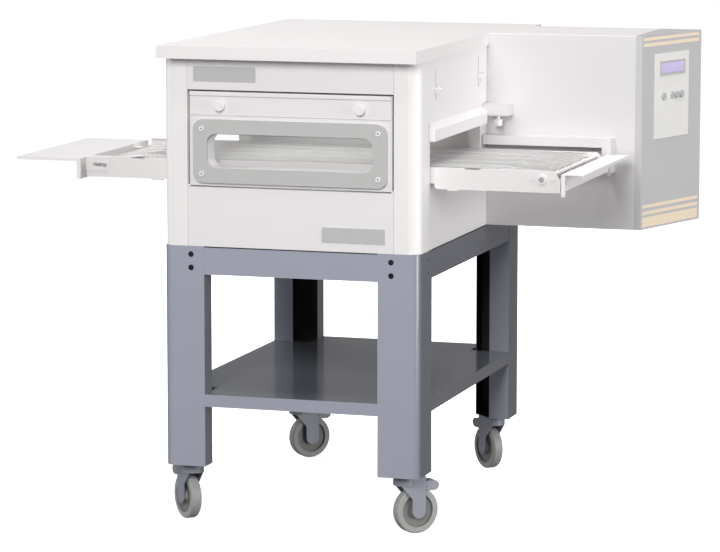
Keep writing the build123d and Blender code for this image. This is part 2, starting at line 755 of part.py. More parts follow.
with BuildPart() as rear_guard:
    block(guard_left, guard_right, guard_front, control_y, guard_low, guard_top)
    block(guard_left - 1, guard_right - sheet, guard_front + sheet, control_y + 1, guard_low - 1,
          guard_top - sheet, Mode.SUBTRACT)
    block(guard_left - 1, guard_right - guard_leg, guard_front - 1, guard_front + sheet + 1, guard_low - 1,
          guard_bar_low, Mode.SUBTRACT)
rear_guard.part.label = "rear_guard"

bracket_width = 61.0
bracket_low = 898.0
bracket_high = 925.0
bracket_knob_x = left + 632.0
bracket_knob_y = guard_front + 14.0

with BuildPart() as side_bracket:
    bracket_left = right + 0.8
    bracket_right = bracket_left + bracket_width
    block(bracket_left, bracket_right, guard_front, control_y, bracket_low, bracket_high)
    block(bracket_left + sheet, bracket_right - sheet, guard_front + sheet, control_y + 1, bracket_low + sheet,
          bracket_high - sheet, Mode.SUBTRACT)
    rod_z(bracket_knob_x, bracket_knob_y, bracket_low - 12, bracket_low + sheet, 4)
    rod_z(bracket_knob_x, bracket_knob_y, bracket_low - 24, bracket_low - 9, 10)
side_bracket.part.label = "side_bracket"

# the sloping fascia: s runs from its front edge to the back, out is away from the oven
fascia_sheet = 2.0
fascia_run = math.hypot(fascia_right - fascia_x, control_back - control_y)
fascia_dir = ((fascia_right - fascia_x) / fascia_run, (control_back - control_y) / fascia_run)
fascia_normal = (fascia_dir[1], -fascia_dir[0])


def on_fascia(s, z, out=0.0):
    """A plane on the sloping face, s back from its front edge and out from its surface."""
    point = (
        fascia_x + fascia_dir[0] * s + fascia_normal[0] * out,
        control_y + fascia_dir[1] * s + fascia_normal[1] * out,
        z,
    )
    return Plane(origin=point, x_dir=(fascia_dir[0], fascia_dir[1], 0),
                 z_dir=(fascia_normal[0], fascia_normal[1], 0))


plate_s = (57.0, 212.6)
plate_z = (844.2, 1042.0)
plate_sheet = 1.5
display_s = (77.2, 192.3)
display_z = (990.2, 1024.1)
display_border = 4.5
button_places = [95.7, 136.3, 156.6, 176.9]
button_z = 942.0
button_radius = 8.2
button_gap = 0.4
button_proud = 4.0
button_flange = 1.3
display_mid = ((display_s[0] + display_s[1]) / 2, (display_z[0] + display_z[1]) / 2)
display_size = (display_s[1] - display_s[0], display_z[1] - display_z[0])

with BuildPart() as fascia_housing:
    wedge = [(control_right, control_y), (fascia_x, control_y), (fascia_right, control_back),
             (control_right, control_back)]
    prism(Plane.XY.offset(oven_base_height), wedge, oven_height)
    corner_cut = fascia_sheet / fascia_dir[1]
    hollow = [
        (control_right - 1, control_y + fascia_sheet),
        (fascia_x + fascia_dir[0] * fascia_sheet / fascia_dir[1] - corner_cut, control_y + fascia_sheet),
        (fascia_right - fascia_dir[0] * fascia_sheet / fascia_dir[1] - corner_cut, control_back - fascia_sheet),
        (control_right - 1, control_back - fascia_sheet),
    ]
    prism(Plane.XY.offset(oven_base_height + fascia_sheet), hollow, oven_height - 2 * fascia_sheet,
          Mode.SUBTRACT)
    soft_slab(on_fascia(display_mid[0], display_mid[1], -2 * fascia_sheet), display_size[0] - 2 * display_border,
              display_size[1] - 2 * display_border, 1, 3 * fascia_sheet, Mode.SUBTRACT)
    for place in button_places:
        rod(on_fascia(place, button_z, -2 * fascia_sheet), button_radius + button_gap, 3 * fascia_sheet,
            Mode.SUBTRACT)
fascia_housing.part.label = "fascia_housing"

with BuildPart() as control_plate:
    plate_mid = on_fascia((plate_s[0] + plate_s[1]) / 2, (plate_z[0] + plate_z[1]) / 2)
    soft_slab(plate_mid, plate_s[1] - plate_s[0], plate_z[1] - plate_z[0], 2, plate_sheet)
    soft_slab(on_fascia(display_mid[0], display_mid[1], -1), display_size[0] - 2 * display_border,
              display_size[1] - 2 * display_border, 1, plate_sheet + 2, Mode.SUBTRACT)
    for place in button_places:
        rod(on_fascia(place, button_z, -1), button_radius + button_gap, plate_sheet + 2, Mode.SUBTRACT)
control_plate.part.label = "control_plate"

bezel_proud = 2.0
screen_edge = 0.3

with BuildPart() as display_bezel:
    soft_slab(on_fascia(display_mid[0], display_mid[1], plate_sheet), display_size[0], display_size[1], 1.5,
              bezel_proud)
    soft_slab(on_fascia(display_mid[0], display_mid[1], plate_sheet - 1), display_size[0] - 2 * display_border,
              display_size[1] - 2 * display_border, 1, bezel_proud + 2, Mode.SUBTRACT)
display_bezel.part.label = "display_bezel"

with BuildPart() as display_screen:
    soft_slab(on_fascia(display_mid[0], display_mid[1], -fascia_sheet - 4),
              display_size[0] - 2 * display_border - 2 * screen_edge,
              display_size[1] - 2 * display_border - 2 * screen_edge, 0.8,
              fascia_sheet + 4 + plate_sheet + bezel_proud / 2)
display_screen.part.label = "display_screen"


def make_button(place):
    """A round cap through the plate, kept in by a flange behind the fascia."""
    rod(on_fascia(place, button_z, -fascia_sheet - button_flange - 0.5), button_radius,
        fascia_sheet + button_flange + 0.5 + plate_sheet + button_proud)
    rod(on_fascia(place, button_z, -fascia_sheet - button_flange - 0.5), button_radius + 1.6, button_flange)


with BuildPart() as start_button:
    make_button(button_places[0])
start_button.part.label = "start_button"

with BuildPart() as menu_button:
    make_button(button_places[1])
menu_button.part.label = "menu_button"

with BuildPart() as lower_button:
    make_button(button_places[2])
lower_button.part.label = "lower_button"

with BuildPart() as raise_button:
    make_button(button_places[3])
raise_button.part.label = "raise_button"

# ---------------------------------------------------------------- inspection door
door_left = left + post_width + door_gap
door_right = right - post_width - door_gap
door_bottom = door_opening_bottom + 3.3
panel_y = front + 3.0
panel_depth = 15.0
window_depth = 40.0
window_radius = 22.0
window_z = window_bottom + window_height / 2
bezel_z = bezel_bottom + bezel_height / 2
glass_thickness = 4.0
glass_lap = 5.0

with BuildPart() as door_panel:
    block(door_left, door_right, panel_y, panel_y + panel_depth, door_bottom, door_opening_top - 4)
    block(door_left + sheet, door_right - sheet, panel_y + sheet, panel_y + panel_depth + 1,
          door_bottom + sheet, door_opening_top - 4 - sheet, Mode.SUBTRACT)
    soft_slab(facing_front(middle, panel_y + window_depth, window_z), window_width, window_height,
              window_radius, window_depth - sheet)
    soft_slab(facing_front(middle, panel_y + window_depth + 1, window_z), window_width - 2 * sheet,
              window_height - 2 * sheet, window_radius - sheet, window_depth + 2, Mode.SUBTRACT)
    rod_x(left + post_width - 2 * sheet, door_left + sheet, door_axis_y, door_hinge_z, hinge_pin_radius)
    rod_x(door_right - sheet, right - post_width + 2 * sheet, door_axis_y, door_hinge_z, hinge_pin_radius)
door_panel.part.label = "door_panel"

strip_inset = 2.3
strip_y = front + 0.5
ridge_height = 10.0
ridge_out = 3.0
strip_top = door_opening_top - 4.0

with BuildPart() as knob_strip:
    block(door_left + strip_inset, door_right - strip_inset, strip_y, panel_y, strip_bottom, strip_top)
    block(door_left + strip_inset, door_right - strip_inset, strip_y - ridge_out, strip_y,
          strip_top - ridge_height, strip_top)
    fillet(edges().filter_by(Axis.X).sort_by(Axis.Y)[:2], 2)
knob_strip.part.label = "knob_strip"

with BuildPart() as window_bezel:
    soft_slab(facing_front(middle, panel_y, bezel_z), bezel_width, bezel_height, 23, bezel_depth)
    soft_slab(facing_front(middle, panel_y + 1, window_z), window_width, window_height, window_radius,
              bezel_depth + 2, Mode.SUBTRACT)
    soft_slab(facing_front(middle, panel_y + 1, window_z), window_width + 2 * glass_lap + 0.6,
              window_height + 2 * glass_lap + 0.6, window_radius + glass_lap, glass_thickness + 1.3,
              Mode.SUBTRACT)
window_bezel.part.label = "window_bezel"

with BuildPart() as window_glass:
    soft_slab(facing_front(middle, panel_y, window_z), window_width + 2 * glass_lap,
              window_height + 2 * glass_lap, window_radius + glass_lap - 0.3, glass_thickness)
window_glass.part.label = "window_glass"

knob_spread = 163.2
knob_z = 953.5
knob_radius = 12.0
knob_neck = 6.0
knob_reach = 11.0

with BuildPart() as door_knobs:
    for knob_x in (middle - knob_spread, middle + knob_spread):
        rod_y(knob_x, strip_y - 4, strip_y, knob_z, knob_neck)
        rod_y(knob_x, strip_y - knob_reach, strip_y - 4, knob_z, knob_radius)
    rims = [e for e in edges().filter_by(GeomType.CIRCLE) if abs(e.radius - knob_radius) < 0.01]
    fillet(rims, 1.5)
door_knobs.part.label = "door_knobs"

screw_spread = 205.5
screw_rise = 50.5
screw_head_radius = 5.5
screw_head = 2.0

with BuildPart() as bezel_screws:
    for screw_x in (middle - screw_spread, middle + screw_spread):
        for screw_z in (bezel_z - screw_rise, bezel_z + screw_rise):
            face_y = panel_y - bezel_depth
            rod_y(screw_x, face_y - screw_head, face_y, screw_z, screw_head_radius)
            rod_y(screw_x, face_y - screw_head - 1, face_y - screw_head / 2, screw_z, 2.2, Mode.SUBTRACT)
bezel_screws.part.label = "bezel_screws"

# ---------------------------------------------------------------- height-adjustable hoods
hood_gap = 0.3
hood_sheet = 1.5
hood_seam = 0.05
plate_rear = front + 556.0
plate_front = front + post_side + 1.0
plate_top = 1062.0
hood_front = belt_y - hood_width / 2
hood_rear = belt_y + hood_width / 2


def make_hood(side, x_panel):
    """A slotted plate on the side panel, and below its seam the hood folded out over the tunnel."""
    x_in = x_panel + side * hood_gap
    x_out = x_in + side * hood_sheet
    x_skirt = x_in + side * (hood_out + hood_sheet)
    block(min(x_in, x_out), max(x_in, x_out), plate_front, plate_rear, hood_top + hood_seam, plate_top)
    profile = [
        (x_in, hood_top),
        (x_out, hood_top),
        (x_skirt, hood_fold),
        (x_skirt, hood_bottom),
        (x_skirt - side * hood_sheet, hood_bottom),
        (x_skirt - side * hood_sheet, hood_fold - hood_sheet / 2),
        (x_in, hood_top - hood_sheet),
    ]
    prism(facing_back(0, hood_front, 0), [(-x, z) for x, z in profile], hood_width)
    cap = [
        (x_in, hood_top - hood_sheet),
        (x_skirt - side * hood_sheet, hood_fold - hood_sheet / 2),
        (x_skirt - side * hood_sheet, hood_bottom),
        (x_in, hood_bottom),
    ]
    for cap_y in (hood_front, hood_rear - hood_sheet):
        prism(facing_back(0, cap_y, 0), [(-x, z) for x, z in cap], hood_sheet)
    slot_plane = facing_right(min(x_in, x_out) - 1, 0, (slot_bottom + slot_top) / 2)
    with BuildSketch(slot_plane, mode=Mode.PRIVATE) as slots:
        for stud_y in stud_ys:
            with Locations((stud_y, 0)):
                SlotOverall(slot_top - slot_bottom, slot_width, rotation=90)
    extrude(slots.sketch, amount=hood_sheet + 2, mode=Mode.SUBTRACT)


with BuildPart() as hood_left:
    make_hood(-1, left + side_recess)
hood_left.part.label = "hood_left"

with BuildPart() as hood_right:
    make_hood(1, right - side_recess)
hood_right.part.label = "hood_right"

nut_hub_radius = 5.5
nut_length = 8.0
wing_reach = 14.0
wing_sheet = 2.2
wing_tilt = 35.0


def make_wing_nut(side, x_panel, stud_y):
    """A hub on the stud with two raised wings."""
    x_start = x_panel + side * (2 * hood_gap + hood_sheet)
    x_end = x_start + side * nut_length
    x_tip = x_start + side * (nut_length + 3)
    tilt = math.radians(wing_tilt)
    rod_x(min(x_start, x_end), max(x_start, x_end), stud_y, stud_height, nut_hub_radius)
    wing_plane = Plane(origin=(x_start + side * 1.5, stud_y, stud_height),
                       x_dir=(0, math.cos(tilt), math.sin(tilt)), z_dir=(side, 0, 0))
    with BuildSketch(wing_plane, mode=Mode.PRIVATE) as wings:
        Rectangle(2 * wing_reach, wing_sheet)
    extrude(wings.sketch, amount=abs(x_tip - x_start) - 1.5)
    rod_x(min(x_start, x_tip) - 1, max(x_start, x_tip) + 1, stud_y, stud_height, stud_radius + running_gap,
          Mode.SUBTRACT)


with BuildPart() as wing_nut_left_front:
    make_wing_nut(-1, left + side_recess, stud_ys[0])
wing_nut_left_front.part.label = "wing_nut_left_front"

with BuildPart() as wing_nut_left_rear:
    make_wing_nut(-1, left + side_recess, stud_ys[1])
wing_nut_left_rear.part.label = "wing_nut_left_rear"

with BuildPart() as wing_nut_right_front:
    make_wing_nut(1, right - side_recess, stud_ys[0])
wing_nut_right_front.part.label = "wing_nut_right_front"

with BuildPart() as wing_nut_right_rear:
    make_wing_nut(1, right - side_recess, stud_ys[1])
wing_nut_right_rear.part.label = "wing_nut_right_rear"

# ---------------------------------------------------------------- conveyor
frame_left = left - 218.0
frame_right_top = left + 876.0
frame_right = left + 891.0
tunnel_clear = 8.0
raised_bottom = 786.0
step_bend = 8.0
step_bend_steps = 6
side_flange = 9.0
notch_centre = 394.0
notch_length = 34.0
end_plate_top = 806.0
exit_tube_x = left + 872.0
exit_tube_z = 811.0
exit_tube_radius = 5.0
boss_radius = 11.0
boss_out = 4.0
boss_screw_spread = 25.0
slot_left = left - 204.0
slot_right = left - 170.0
tension_plate = (left - 220.0, left - 166.0)
idler_end_radius = 3.9


def side_rail(y_outer, inward):
    """A folded side rail, cut higher where it passes through the oven."""
    bends = [math.radians(90 / (step_bend_steps - 1) * step) for step in range(step_bend_steps)]
    left_bend = [
        (left - tunnel_clear - step_bend * (1 - math.sin(a)), frame_bottom + step_bend * (1 - math.cos(a)))
        for a in bends
    ]
    right_bend = [(left + right - x, z) for x, z in reversed(left_bend)]
    web = [
        (frame_left, frame_bottom),
        *left_bend,
        (left - tunnel_clear, raised_bottom),
        (right + tunnel_clear, raised_bottom),
        *right_bend,
        (frame_right, frame_bottom),
        (frame_right, frame_top - 20),
        (frame_right - 6, frame_top - 8),
        (frame_right_top, frame_top),
        (frame_left, frame_top),
    ]
    start = y_outer if inward > 0 else y_outer - sheet
    prism(facing_back(0, start, 0), [(-x, z) for x, z in web], sheet)
    y_lip = y_outer + inward * side_flange
    block(frame_left, frame_right_top - 24, min(y_outer, y_lip), max(y_outer, y_lip), frame_top - sheet,
          frame_top)
    for notch_x in (middle - notch_centre, middle + notch_centre):
        block(notch_x - notch_length / 2, notch_x + notch_length / 2, min(y_outer, y_lip),
              max(y_outer, y_lip), frame_top - 2 * sheet, frame_top + 1, Mode.SUBTRACT)
    outward = y_outer - inward * boss_out
    rod_y(drive_x, min(y_outer, outward), max(y_outer, outward), shaft_height, boss_radius)
    for screw_x in (drive_x - boss_screw_spread, drive_x + boss_screw_spread):
        rod_y(screw_x, min(y_outer, y_outer - inward * 2), max(y_outer, y_outer - inward * 2),
              shaft_height, 4)
    plate_out = y_outer - inward * sheet
    block(tension_plate[0], tension_plate[1], min(y_outer, plate_out), max(y_outer, plate_out),
          frame_top - 34, frame_top - 1)


with BuildPart() as conveyor_frame:
    side_rail(frame_front, 1)
    side_rail(frame_rear, -1)
    block(frame_left - sheet, frame_left, frame_front, frame_rear, frame_bottom + 2, end_plate_top)
    block(frame_right, frame_right + sheet, frame_front, frame_rear, frame_bottom + 2, end_plate_top)
    rod_y(exit_tube_x, frame_front + sheet / 2, frame_rear - sheet / 2, exit_tube_z, exit_tube_radius)
    for y_rail in (frame_front, frame_rear):
        rod_y(drive_x, y_rail - 10, y_rail + 10, shaft_height, shaft_radius + running_gap, Mode.SUBTRACT)
        slot_plane = facing_back((slot_left + slot_right) / 2, y_rail - 10, shaft_height)
        with BuildSketch(slot_plane, mode=Mode.PRIVATE) as tension_slot:
            SlotOverall(slot_right - slot_left, 2 * idler_end_radius + 0.2)
        extrude(tension_slot.sketch, amount=20, mode=Mode.SUBTRACT)
    for foot_x in (left - 50, right + 50):
        block(foot_x - 13, foot_x + 13, frame_front, frame_front + 10, frame_bottom - 3, frame_bottom + sheet)
conveyor_frame.part.label = "conveyor_frame"

mesh_pitch = 25.0
mesh_columns = 38
mesh_rows = 5
slope_left = left - 96.0
slope_right = left + 760.0

with BuildPart() as conveyor_belt:
    with BuildSketch(facing_back(0, belt_y - belt_width / 2, 0)) as loop:
        with BuildLine():
            top_z = shaft_height + belt_end_radius
            low_z = shaft_height - belt_end_radius
            Line((-idler_x, low_z), (-drive_x, low_z))
            ThreePointArc((-drive_x, low_z), (-drive_x - belt_end_radius, shaft_height), (-drive_x, top_z))
            Line((-drive_x, top_z), (-slope_right, belt_top))
            Line((-slope_right, belt_top), (-slope_left, belt_top))
            Line((-slope_left, belt_top), (-idler_x, top_z))
            ThreePointArc((-idler_x, top_z), (-idler_x + belt_end_radius, shaft_height), (-idler_x, low_z))
        make_face()
        offset(amount=-belt_thickness, mode=Mode.SUBTRACT)
    extrude(amount=belt_width)
    with BuildSketch(Plane.XY.offset(shaft_height - 2 * belt_end_radius)) as openings:
        with Locations(((idler_x + drive_x) / 2, belt_y)):
            with GridLocations(mesh_pitch, belt_width / mesh_rows * 0.96, mesh_columns, mesh_rows):
                Rectangle(mesh_pitch - 5, belt_width / mesh_rows - 12)
    extrude(amount=4 * belt_end_radius, mode=Mode.SUBTRACT)
conveyor_belt.part.label = "conveyor_belt"

sprocket_radius = belt_inner_radius - 0.4
sprocket_width = 8.0
sprocket_count = 5
sprocket_step = 82.0
drive_end = control_y + 66.0

with BuildPart() as drive_shaft:
    rod_y(drive_x, frame_front - boss_out - 1, drive_end, shaft_height, shaft_radius)
    for index in range(sprocket_count):
        start = belt_y + (index - 2) * sprocket_step - sprocket_width / 2
        rod_y(drive_x, start, start + sprocket_width, shaft_height, sprocket_radius)
drive_shaft.part.label = "drive_shaft"

with BuildPart() as idler_shaft:
    rod_y(idler_x, frame_front + sheet + 0.5, frame_rear - sheet - 0.5, shaft_height, shaft_radius)
    rod_y(idler_x, frame_front - 5, frame_rear + 5, shaft_height, idler_end_radius)
    for index in range(sprocket_count):
        start = belt_y + (index - 2) * sprocket_step - sprocket_width / 2
        rod_y(idler_x, start, start + sprocket_width, shaft_height, sprocket_radius)
idler_shaft.part.label = "idler_shaft"

wire_radius = 2.0
wire_z = belt_top - belt_thickness - 0.4 - wire_radius
wire_spacing = 110.0
wire_left = left - 88.0
wire_right = left + 748.0
wire_drop = 12.0
cross_bar_radius = 3.0
cross_bar_z = wire_z - wire_radius - cross_bar_radius + 0.5
cross_bar_count = 6

with BuildPart() as support_wires:
    for index in range(3):
        wire_y = belt_y + (index - 1) * wire_spacing
        rod_x(wire_left, wire_right, wire_y, wire_z, wire_radius)
        for end_x, turn in ((wire_left, -1), (wire_right, 1)):
            tip = Plane(origin=(end_x, wire_y, wire_z), x_dir=(0, 1, 0), z_dir=(turn * 0.86, 0, -0.5))
            rod(tip, wire_radius, 2 * wire_drop)
            with Locations((end_x, wire_y, wire_z)):
                Sphere(wire_radius)
    for index in range(cross_bar_count):
        bar_x = wire_left + 20 + (wire_right - wire_left - 40) / (cross_bar_count - 1) * index
        rod_y(bar_x, frame_front + sheet, frame_rear - sheet, cross_bar_z, cross_bar_radius)
support_wires.part.label = "support_wires"

table_top = 816.0
table_rim = 7.0
table_front = belt_y - 218.0
table_rear = belt_y + 218.0
entry_left = left - entry_reach
entry_right = left - 231.0
hook_gap = 1.5
hook_positions = [belt_y - 140.0, belt_y + 140.0]
hook_width = 30.0
entry_flange_low = 769.0

with BuildPart() as entry_table:
    block(entry_left, entry_right, table_front, table_rear, table_top - table_rim, table_top)
    block(entry_left + sheet, entry_right + 1, table_front + sheet, table_rear - sheet,
          table_top - table_rim - 1, table_top - sheet, Mode.SUBTRACT)
    block(entry_right - 10, entry_right, table_front, table_rear, entry_flange_low, table_top)
    block(entry_right - 10 + sheet, entry_right - sheet, table_front + sheet, table_rear - sheet,
          entry_flange_low + sheet, table_top - sheet, Mode.SUBTRACT)
    for hook_y in hook_positions:
        block(entry_right - sheet, frame_left + hook_gap + sheet, hook_y - hook_width / 2,
              hook_y + hook_width / 2, end_plate_top + 0.4, end_plate_top + 0.4 + sheet)
        block(frame_left + hook_gap, frame_left + hook_gap + sheet, hook_y - hook_width / 2,
              hook_y + hook_width / 2, end_plate_top - 10, end_plate_top + 0.4 + sheet)
entry_table.part.label = "entry_table"

exit_left = left + 897.0
exit_right = left + 947.0
exit_flange_low = 776.0
exit_leg_low = 767.0
exit_leg_width = 9.0

with BuildPart() as exit_table:
    block(exit_left, exit_right, table_front, table_rear, table_top - sheet, table_top)
    block(exit_right - sheet, exit_right, table_front, table_rear, table_top - table_rim, table_top)
    block(exit_left, exit_left + sheet, table_front, table_rear, exit_flange_low, table_top)
    for leg_y in (table_front, table_rear - sheet):
        block(exit_left, exit_left + exit_leg_width, leg_y, leg_y + sheet, exit_leg_low, table_top)
    for slot_y in (table_front + 30, table_rear - 60):
        block(exit_left - 1, exit_left + sheet + 1, slot_y - 10, slot_y + 10, table_top - 28, table_top - 17,
              Mode.SUBTRACT)
    for hook_y in hook_positions:
        block(frame_right - hook_gap - sheet, exit_left + sheet, hook_y - hook_width / 2,
              hook_y + hook_width / 2, end_plate_top + 0.4, end_plate_top + 0.4 + sheet)
        block(frame_right - hook_gap - sheet, frame_right - hook_gap, hook_y - hook_width / 2,
              hook_y + hook_width / 2, end_plate_top - 10, end_plate_top + 0.4 + sheet)
exit_table.part.label = "exit_table"

gearbox_half = 34.0
gearbox_depth = 50.0
gear_motor_radius = 30.0
gear_motor_length = 120.0

with BuildPart() as drive_motor:
    block(drive_x - gearbox_half, drive_x + gearbox_half, control_y + sheet, control_y + sheet + gearbox_depth,
          shaft_height - gearbox_half, shaft_height + gearbox_half + 14)
    rod_y(drive_x, control_y + sheet + gearbox_depth, drive_end + 6, shaft_height, 18)
    rod_z(drive_x, control_y + sheet + gearbox_depth / 2 + 5, shaft_height + gearbox_half + 14,
          shaft_height + gearbox_half + 14 + gear_motor_length, gear_motor_radius - 2)
    rod_y(drive_x, control_y, drive_end + 0.5, shaft_height, shaft_radius + running_gap, Mode.SUBTRACT)
drive_motor.part.label = "drive_motor"

# ---------------------------------------------------------------- small fittings
name_plate_sheet = 1.2
rivet_radius = 1.6
upper_plate_mid = (left + 146.8, 1023.7)
lower_plate_mid = (left + 446.3, 673.8)
name_plate_size = (146.5, 33.6)

with BuildPart() as name_plates:
    for plate_x, plate_height in (upper_plate_mid, lower_plate_mid):
        soft_slab(facing_front(plate_x, front, plate_height), name_plate_size[0], name_plate_size[1], 3,
                  name_plate_sheet)
        for rivet_x in (plate_x - name_plate_size[0] / 2 + 5, plate_x + name_plate_size[0] / 2 - 5):
            rod_y(rivet_x, front - name_plate_sheet - 0.6, front - name_plate_sheet, plate_height, rivet_radius)
name_plates.part.label = "name_plates"

gland_x = left + 720.0
gland_z = 690.0

with BuildPart() as cable_gland:
    with BuildSketch(facing_back(gland_x, control_back, gland_z)):
        RegularPolygon(15, 6)
    extrude(amount=7)
    rod_y(gland_x, control_back + 7, control_back + 24, gland_z, 11)
    rod_y(gland_x, control_back - 1, control_back + 25, gland_z, 5, Mode.SUBTRACT)
cable_gland.part.label = "cable_gland"

# ---------------------------------------------------------------- export
nodes = [
    stand_legs, stand_rails, shelf_tray, castor_plates,
    castor_fork_front_left, castor_fork_front_right, castor_fork_rear_left, castor_fork_rear_right,
    castor_wheel_front_left, castor_wheel_front_right, castor_wheel_rear_left, castor_wheel_rear_right,
    brake_pedal_front_left, brake_pedal_front_right, brake_pedal_rear_left, brake_pedal_rear_right,
    top_cover, front_panels, corner_posts, side_panels, back_panel, base_pan,
    chamber_liner, jet_ducts, heating_elements, circulation_fan, fan_motor,
    control_box, rear_guard, side_bracket, fascia_housing, control_plate, display_bezel, display_screen,
    start_button, menu_button, lower_button, raise_button,
    door_panel, knob_strip, window_bezel, window_glass, door_knobs, bezel_screws,
    hood_left, hood_right,
    wing_nut_left_front, wing_nut_left_rear, wing_nut_right_front, wing_nut_right_rear,
    conveyor_frame, conveyor_belt, drive_shaft, idler_shaft, support_wires, entry_table, exit_table,
    drive_motor, name_plates, cable_gland,
]

os.makedirs("parts", exist_ok=True)
for node in nodes:
    export_step(node.part, f"parts/{node.part.label}.step")
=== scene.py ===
import bpy
import bmesh
import math
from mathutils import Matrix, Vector


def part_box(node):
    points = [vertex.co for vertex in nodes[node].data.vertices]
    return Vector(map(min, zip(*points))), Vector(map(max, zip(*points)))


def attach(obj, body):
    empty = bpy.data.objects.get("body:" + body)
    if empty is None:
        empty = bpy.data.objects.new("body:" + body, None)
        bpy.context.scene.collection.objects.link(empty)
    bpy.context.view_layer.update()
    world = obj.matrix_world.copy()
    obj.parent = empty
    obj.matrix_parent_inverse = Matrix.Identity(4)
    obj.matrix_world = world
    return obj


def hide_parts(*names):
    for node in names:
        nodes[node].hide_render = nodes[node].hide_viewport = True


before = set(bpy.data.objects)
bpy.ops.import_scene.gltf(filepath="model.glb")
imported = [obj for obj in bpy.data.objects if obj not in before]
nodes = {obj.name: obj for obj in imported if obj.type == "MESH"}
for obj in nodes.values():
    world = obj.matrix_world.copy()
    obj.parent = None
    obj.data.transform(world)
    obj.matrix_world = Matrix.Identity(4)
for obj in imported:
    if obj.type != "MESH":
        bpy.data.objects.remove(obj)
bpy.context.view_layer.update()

# Where the oven stands, read from its own pieces.
stand_low, stand_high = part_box("stand_legs")
stand_left, stand_front = stand_low.x, stand_low.y
belt_low, belt_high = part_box("conveyor_belt")
drive_low, drive_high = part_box("drive_shaft")
idler_low, idler_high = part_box("idler_shaft")
fascia_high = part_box("fascia_housing")[1]
duct_low, duct_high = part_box("jet_ducts")


# ------------------------------------------------------------------ finishes
class Signal:
    """A value, colour or direction that changes over a surface, and the sums done on it."""

    def __init__(self, finish, socket):
        self.finish = finish
        self.socket = socket

    def maths(self, operation, first, second=None, clamp=False):
        sockets = {0: first}
        if second is not None:
            sockets[1] = second
        made = self.finish.node("Math", {"operation": operation, "use_clamp": clamp}, sockets)
        return Signal(self.finish, made.outputs[0])

    def __add__(self, other):
        return self.maths("ADD", self, other)

    def __radd__(self, other):
        return self.maths("ADD", other, self)

    def __sub__(self, other):
        return self.maths("SUBTRACT", self, other)

    def __rsub__(self, other):
        return self.maths("SUBTRACT", other, self)

    def __mul__(self, other):
        return self.maths("MULTIPLY", self, other)

    def __rmul__(self, other):
        return self.maths("MULTIPLY", other, self)

    def __truediv__(self, other):
        return self.maths("DIVIDE", self, other)

    def __pow__(self, other):
        return self.maths("POWER", self, other)

    def __gt__(self, other):
        return self.maths("GREATER_THAN", self, other)

    def __lt__(self, other):
        return self.maths("LESS_THAN", self, other)

    def __abs__(self):
        return self.maths("ABSOLUTE", self)

    def at_least(self, floor):
        return self.maths("MAXIMUM", self, floor)

    def kept_in_range(self):
        return self.maths("ADD", self, 0.0, clamp=True)


class Finish:
    """One surface finish, built up node by node."""

    def __init__(self, name):
        self.material = bpy.data.materials.new(name)
        self.material.use_nodes = True
        self.tree = self.material.node_tree
        self.tree.nodes.clear()
        self.place = None

    def node(self, kind, settings=None, sockets=None):
        made = self.tree.nodes.new("ShaderNode" + kind)
        for setting, value in (settings or {}).items():
            setattr(made, setting, value)
        for socket, value in (sockets or {}).items():
            if isinstance(value, Signal):
                self.tree.links.new(value.socket, made.inputs[socket])
            elif isinstance(value, tuple) and len(value) == 3 and made.inputs[socket].type == "RGBA":
                made.inputs[socket].default_value = (*value, 1.0)
            else:
                made.inputs[socket].default_value = value
        return made

    def output(self, kind, settings=None, sockets=None, socket=0):
        return Signal(self, self.node(kind, settings, sockets).outputs[socket])

    def where(self):
        """The place on the object, in metres."""
        if self.place is None:
            self.place = self.output("TexCoord", socket="Object")
        return self.place

    def along(self):
        """The place as three separate distances: across, in depth and up."""
        split = self.node("SeparateXYZ", {}, {0: self.where()})
        return [Signal(self, out) for out in split.outputs]

    def stretched(self, scale):
        return self.output("Mapping", {}, {"Vector": self.where(), "Scale": scale})

    def noise(self, scale, detail=3.0, stretch=None, roughness=0.5):
        vector = self.stretched(stretch) if stretch else self.where()
        return self.output("TexNoise", {}, {"Vector": vector, "Scale": scale, "Detail": detail,
                                            "Roughness": roughness})

    def mix(self, factor, first, second):
        """Blend two colours."""
        return self.output("Mix", {"data_type": "RGBA"}, {0: factor, 6: first, 7: second}, socket=2)

    def bump(self, height, depth, strength=1.0):
        return self.output("Bump", {}, {"Height": height, "Distance": depth, "Strength": strength})

    def surface(self, sockets):
        shader = self.output("BsdfPrincipled", {}, sockets)
        self.node("OutputMaterial", {}, {"Surface": shader})
        return self.material


def brushed(name, dark, light, grain, roughness, metal, depth=0.00003):
    """Sheet steel, brushed along one way, with faint handling marks."""
    finish = Finish(name)
    lines = finish.noise(1.0, 4.0, grain, 0.65)
    clouds = finish.noise(2.6, 3.0)
    marks = finish.noise(14.0, 5.0, (1.0, 1.0, 0.4), 0.7)
    tone = (lines * 0.55 + clouds * 0.45).kept_in_range()
    return finish.surface({
        "Base Color": finish.mix(tone, dark, light),
        "Metallic": metal,
        "Roughness": (roughness - 0.05 + lines * 0.12 + (marks - 0.5) * 0.10).kept_in_range(),
        "Normal": finish.bump(lines, depth, 0.5),
    })


def powder_coat(name, dark, light, roughness, coat, peel=0.00004):
    """Sprayed and baked paint: orange peel, and a slow drift in tone."""
    finish = Finish(name)
    texture = finish.noise(620.0, 2.0)
    drift = finish.noise(3.0, 3.0)
    scuffs = finish.noise(38.0, 6.0, None, 0.75)
    return finish.surface({
        "Base Color": finish.mix(drift, dark, light),
        "Roughness": (roughness + (scuffs - 0.5) * 0.16).kept_in_range(),
        "Normal": finish.bump(texture, peel, 0.45),
        "Coat Weight": coat,
        "Coat Roughness": 0.18,
    })


ALONG_X = (5.0, 900.0, 1500.0)
ALONG_Y = (900.0, 5.0, 1500.0)
UPRIGHT = (1500.0, 1500.0, 6.0)
EVEN = (260.0, 260.0, 260.0)

